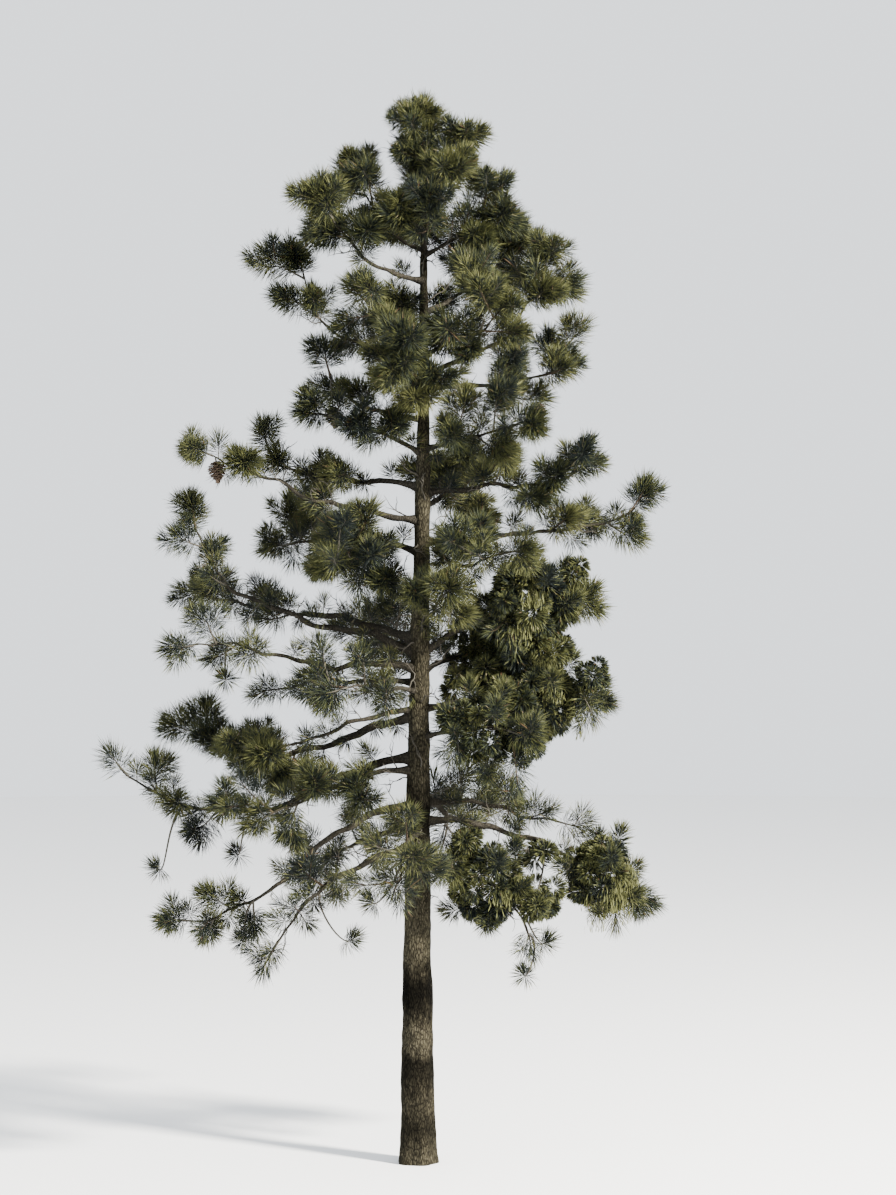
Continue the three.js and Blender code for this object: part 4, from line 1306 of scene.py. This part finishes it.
def pick_faces(piece, wanted):
    """Enters edit mode with only those faces selected that pass a test."""
    only(piece)
    bpy.ops.object.mode_set(mode="EDIT")
    bpy.ops.mesh.select_mode(type="FACE")
    bpy.ops.mesh.select_all(action="DESELECT")
    bpy.ops.object.mode_set(mode="OBJECT")
    for face in piece.data.polygons:
        face.select = wanted(face)
    bpy.ops.object.mode_set(mode="EDIT")


SCALE_SIZE = (0.036, 0.03, 0.011)  # its length outwards, its width and its thickness

start_alone()
bpy.ops.mesh.primitive_cube_add(size=1, location=(SCALE_SIZE[0] / 2, 0, 0))
scale = bpy.context.object
scale.scale = SCALE_SIZE
bpy.ops.object.transform_apply()
pick_faces(scale, lambda face: face.normal.x < -0.9)
bpy.ops.transform.resize(value=(1, 0.35, 0.5))
pick_faces(scale, lambda face: face.normal.x > 0.9)
bpy.ops.mesh.inset(thickness=0.003)
bpy.ops.transform.translate(value=(0.004, 0, 0))
bpy.ops.mesh.extrude_region_move(TRANSFORM_OT_translate={"value": (0.005, 0, 0.002)})
bpy.ops.transform.resize(value=(1, 0.15, 0.15))
bpy.ops.object.mode_set(mode="OBJECT")
print("A scale has", len(scale.data.polygons), "faces")

# %% [markdown]
# Copies of the scale are turned round the cone's axis by the golden angle, each a little lower than
# the one before and tilted further, over a slim core that closes the gaps. The cone is brown and
# half open, as an old one is that has let its seeds go.

# %% One cone
CONE_SCALES, OVERLAP = 62, 0.03
LIFTED, DROOPING = -15, 60  # the tilt of the first scale and of the last, in degrees
cone_brown = new_material("cone_brown", (0.055, 0.036, 0.023), roughness=0.7, specular=0.25)[0]

start_alone()
bpy.ops.mesh.primitive_uv_sphere_add(segments=10, ring_count=6, radius=1)
cone = bpy.context.object
cone.name = cone.data.name = "cones"
cone.scale = (CONE_RADIUS * 0.6, CONE_RADIUS * 0.6, CONE_LENGTH * 0.46)
cone.location = (0, 0, -CONE_LENGTH / 2)
bpy.ops.object.transform_apply()
copies = [cone]
for k in range(CONE_SCALES):
    share, turn = (k + 0.5) / CONE_SCALES, k * GOLDEN_ANGLE
    wide = CONE_RADIUS * math.sin(math.pi * 0.93 * share**0.75 + 0.14)
    out = wide - OVERLAP
    copy = copy_of(scale)
    copy.location = (out * math.cos(turn), out * math.sin(turn), -CONE_LENGTH * share)
    copy.rotation_euler = (0, math.radians(lerp(LIFTED, DROOPING, share)), turn)
    copies.append(copy)
only(*copies)
bpy.ops.object.join()
bpy.data.objects.remove(scale)
print("A cone has", len(cone.data.polygons), "faces")

# %% [markdown]
# Copies of the cone are hung up in the places that were kept clear, each turned its own way and
# hardly out of plumb. They are open, and so wider than the plain solid ones.

# %% Hanging up the cones
CONE_GROWN, OUT_OF_PLUMB = (1.5, 1.5, 1.15), 0.12

start_alone()
hung = []
for row in MASSES:
    if row["cone"]:
        copy = copy_of(cone)
        copy.location = tuple(row["cone_top"])
        copy.scale = CONE_GROWN
        tilts = (detail.normal(0, OUT_OF_PLUMB), detail.normal(0, OUT_OF_PLUMB))
        copy.rotation_euler = (*tilts, NEARLY_ROUND * detail.random())
        hung.append(copy)
bpy.data.objects.remove(cone)
only(*hung)
bpy.ops.object.join()
bpy.ops.object.transform_apply()
cones = bpy.context.object
cones.name = cones.data.name = "cones"
cover(cones, cone_brown)
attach(cones, "root")
print(len(hung), "cones hang on the tree")

# %% [markdown]
# ## Growing the whole crown
#
# The masses are now grown one after another, the dense ones last, and each with its small tufts and
# its hanging twigs. A piece that passes a certain size is closed and a new one begun, because one
# mesh with all the needles would be too heavy to handle. A cone's stalk grows with its mass.

# %% All masses
LARGEST = 145_000  # triangles, past which a piece is closed
STALK_THICK = (0.009, 0.007)
heaps, twigs = [], Heap()
needles, names = Heap(), []
dense_names = {row["name"] for row in MASSES if row["core"]}


def close_heap():
    """Makes a piece of the needles so far, in place of the solids that they grew on."""
    global needles, names
    kind = "dense_needles" if names[0] in dense_names else "needles"
    piece = needles.make(f"{kind}_{len(heaps) + 1}", needle_tints)
    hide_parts(*["needles_" + name for name in names])
    heaps.append(piece)
    needles, names = Heap(), []


for row in sorted(MASSES, key=lambda row: row["name"] in dense_names):
    if names and (needles.count() > LARGEST or (row["core"] and names[-1] not in dense_names)):
        close_heap()
    if row["core"]:
        grow_dense(needles, twigs, row)
    else:
        for sprig in row["sprigs"]:
            grow_tuft(needles, twigs, row, sprig)
        grow_short_shoots(needles, twigs, row)
    grow_small_tufts(needles, twigs, row)
    for name, *place in HANGING:
        if name == row["name"]:
            hang_twig(needles, twigs, row, *place)
    if row["cone"]:
        start, along = along_line(row["stem"], CONE_ALONG)
        stalk = bow(start, along, row["cone_top"] - UP * 0.02, -UP, 7)
        add_twig(twigs, stalk, STALK_THICK, 5, GREY)
    names.append(row["name"])
close_heap()
grow_dead_twigs(twigs)
twig_piece = twigs.make("twigs", twig_tints, smooth=True)

# %% [markdown]
# ## The floor and the light
#
# A wide pale disc stands for the ground and catches the tree's shadow. It is so wide that its edge
# lies far behind the tree, where it fades into the bright world.

# %% Floor
FLOOR_RADIUS, FLOOR_BELOW = 60, 0.002

start_alone()
bpy.ops.mesh.primitive_circle_add(
    vertices=96, radius=FLOOR_RADIUS, fill_type="NGON", location=(0, 0, -FLOOR_BELOW)
)
floor = bpy.context.object
floor.name = "floor"
cover(floor, new_material("floor", (0.85, 0.85, 0.85), roughness=0.9, specular=0.1)[0])
print("The floor is", 2 * FLOOR_RADIUS, "m across")

# %% [markdown]
# A tree is lit by the sun and the sky. One warm lamp high in front gives the needles their bright
# tips, a large cooler one from the other side fills the shadows, and the world lights all of it
# evenly. A sun lamp would do for the first, but a lamp of some size makes softer shadows.

# %% Lamps and world
LIT_HEIGHT = 5.5  # the lamps point at the middle of the tree


def add_lamp(name, place, size, power, color):
    bpy.ops.object.light_add(type="AREA", location=place)
    lamp = bpy.context.object
    lamp.name = name
    lamp.data.size, lamp.data.energy, lamp.data.color = size, power, color
    towards = UP * LIT_HEIGHT - np.array(place)
    pitch = math.atan2(math.hypot(*towards[:2]), -towards[2])
    lamp.rotation_euler = (pitch, 0, math.atan2(towards[1], towards[0]) - math.pi / 2)


add_lamp("key", place=(24, -18, 20), size=4, power=90000, color=(1.0, 0.96, 0.87))
add_lamp("fill", place=(-24, -14, 8), size=12, power=3000, color=(0.6, 0.8, 1.0))
world = bpy.data.worlds.new("studio")
world.use_nodes = True
background = world.node_tree.nodes["Background"]
background.inputs["Color"].default_value = (0.92, 0.96, 1.0, 1)
background.inputs["Strength"].default_value = 1.8
bpy.context.scene.world = world
print("The tree stands in the light of", len(bpy.data.lights), "lamps and the world")
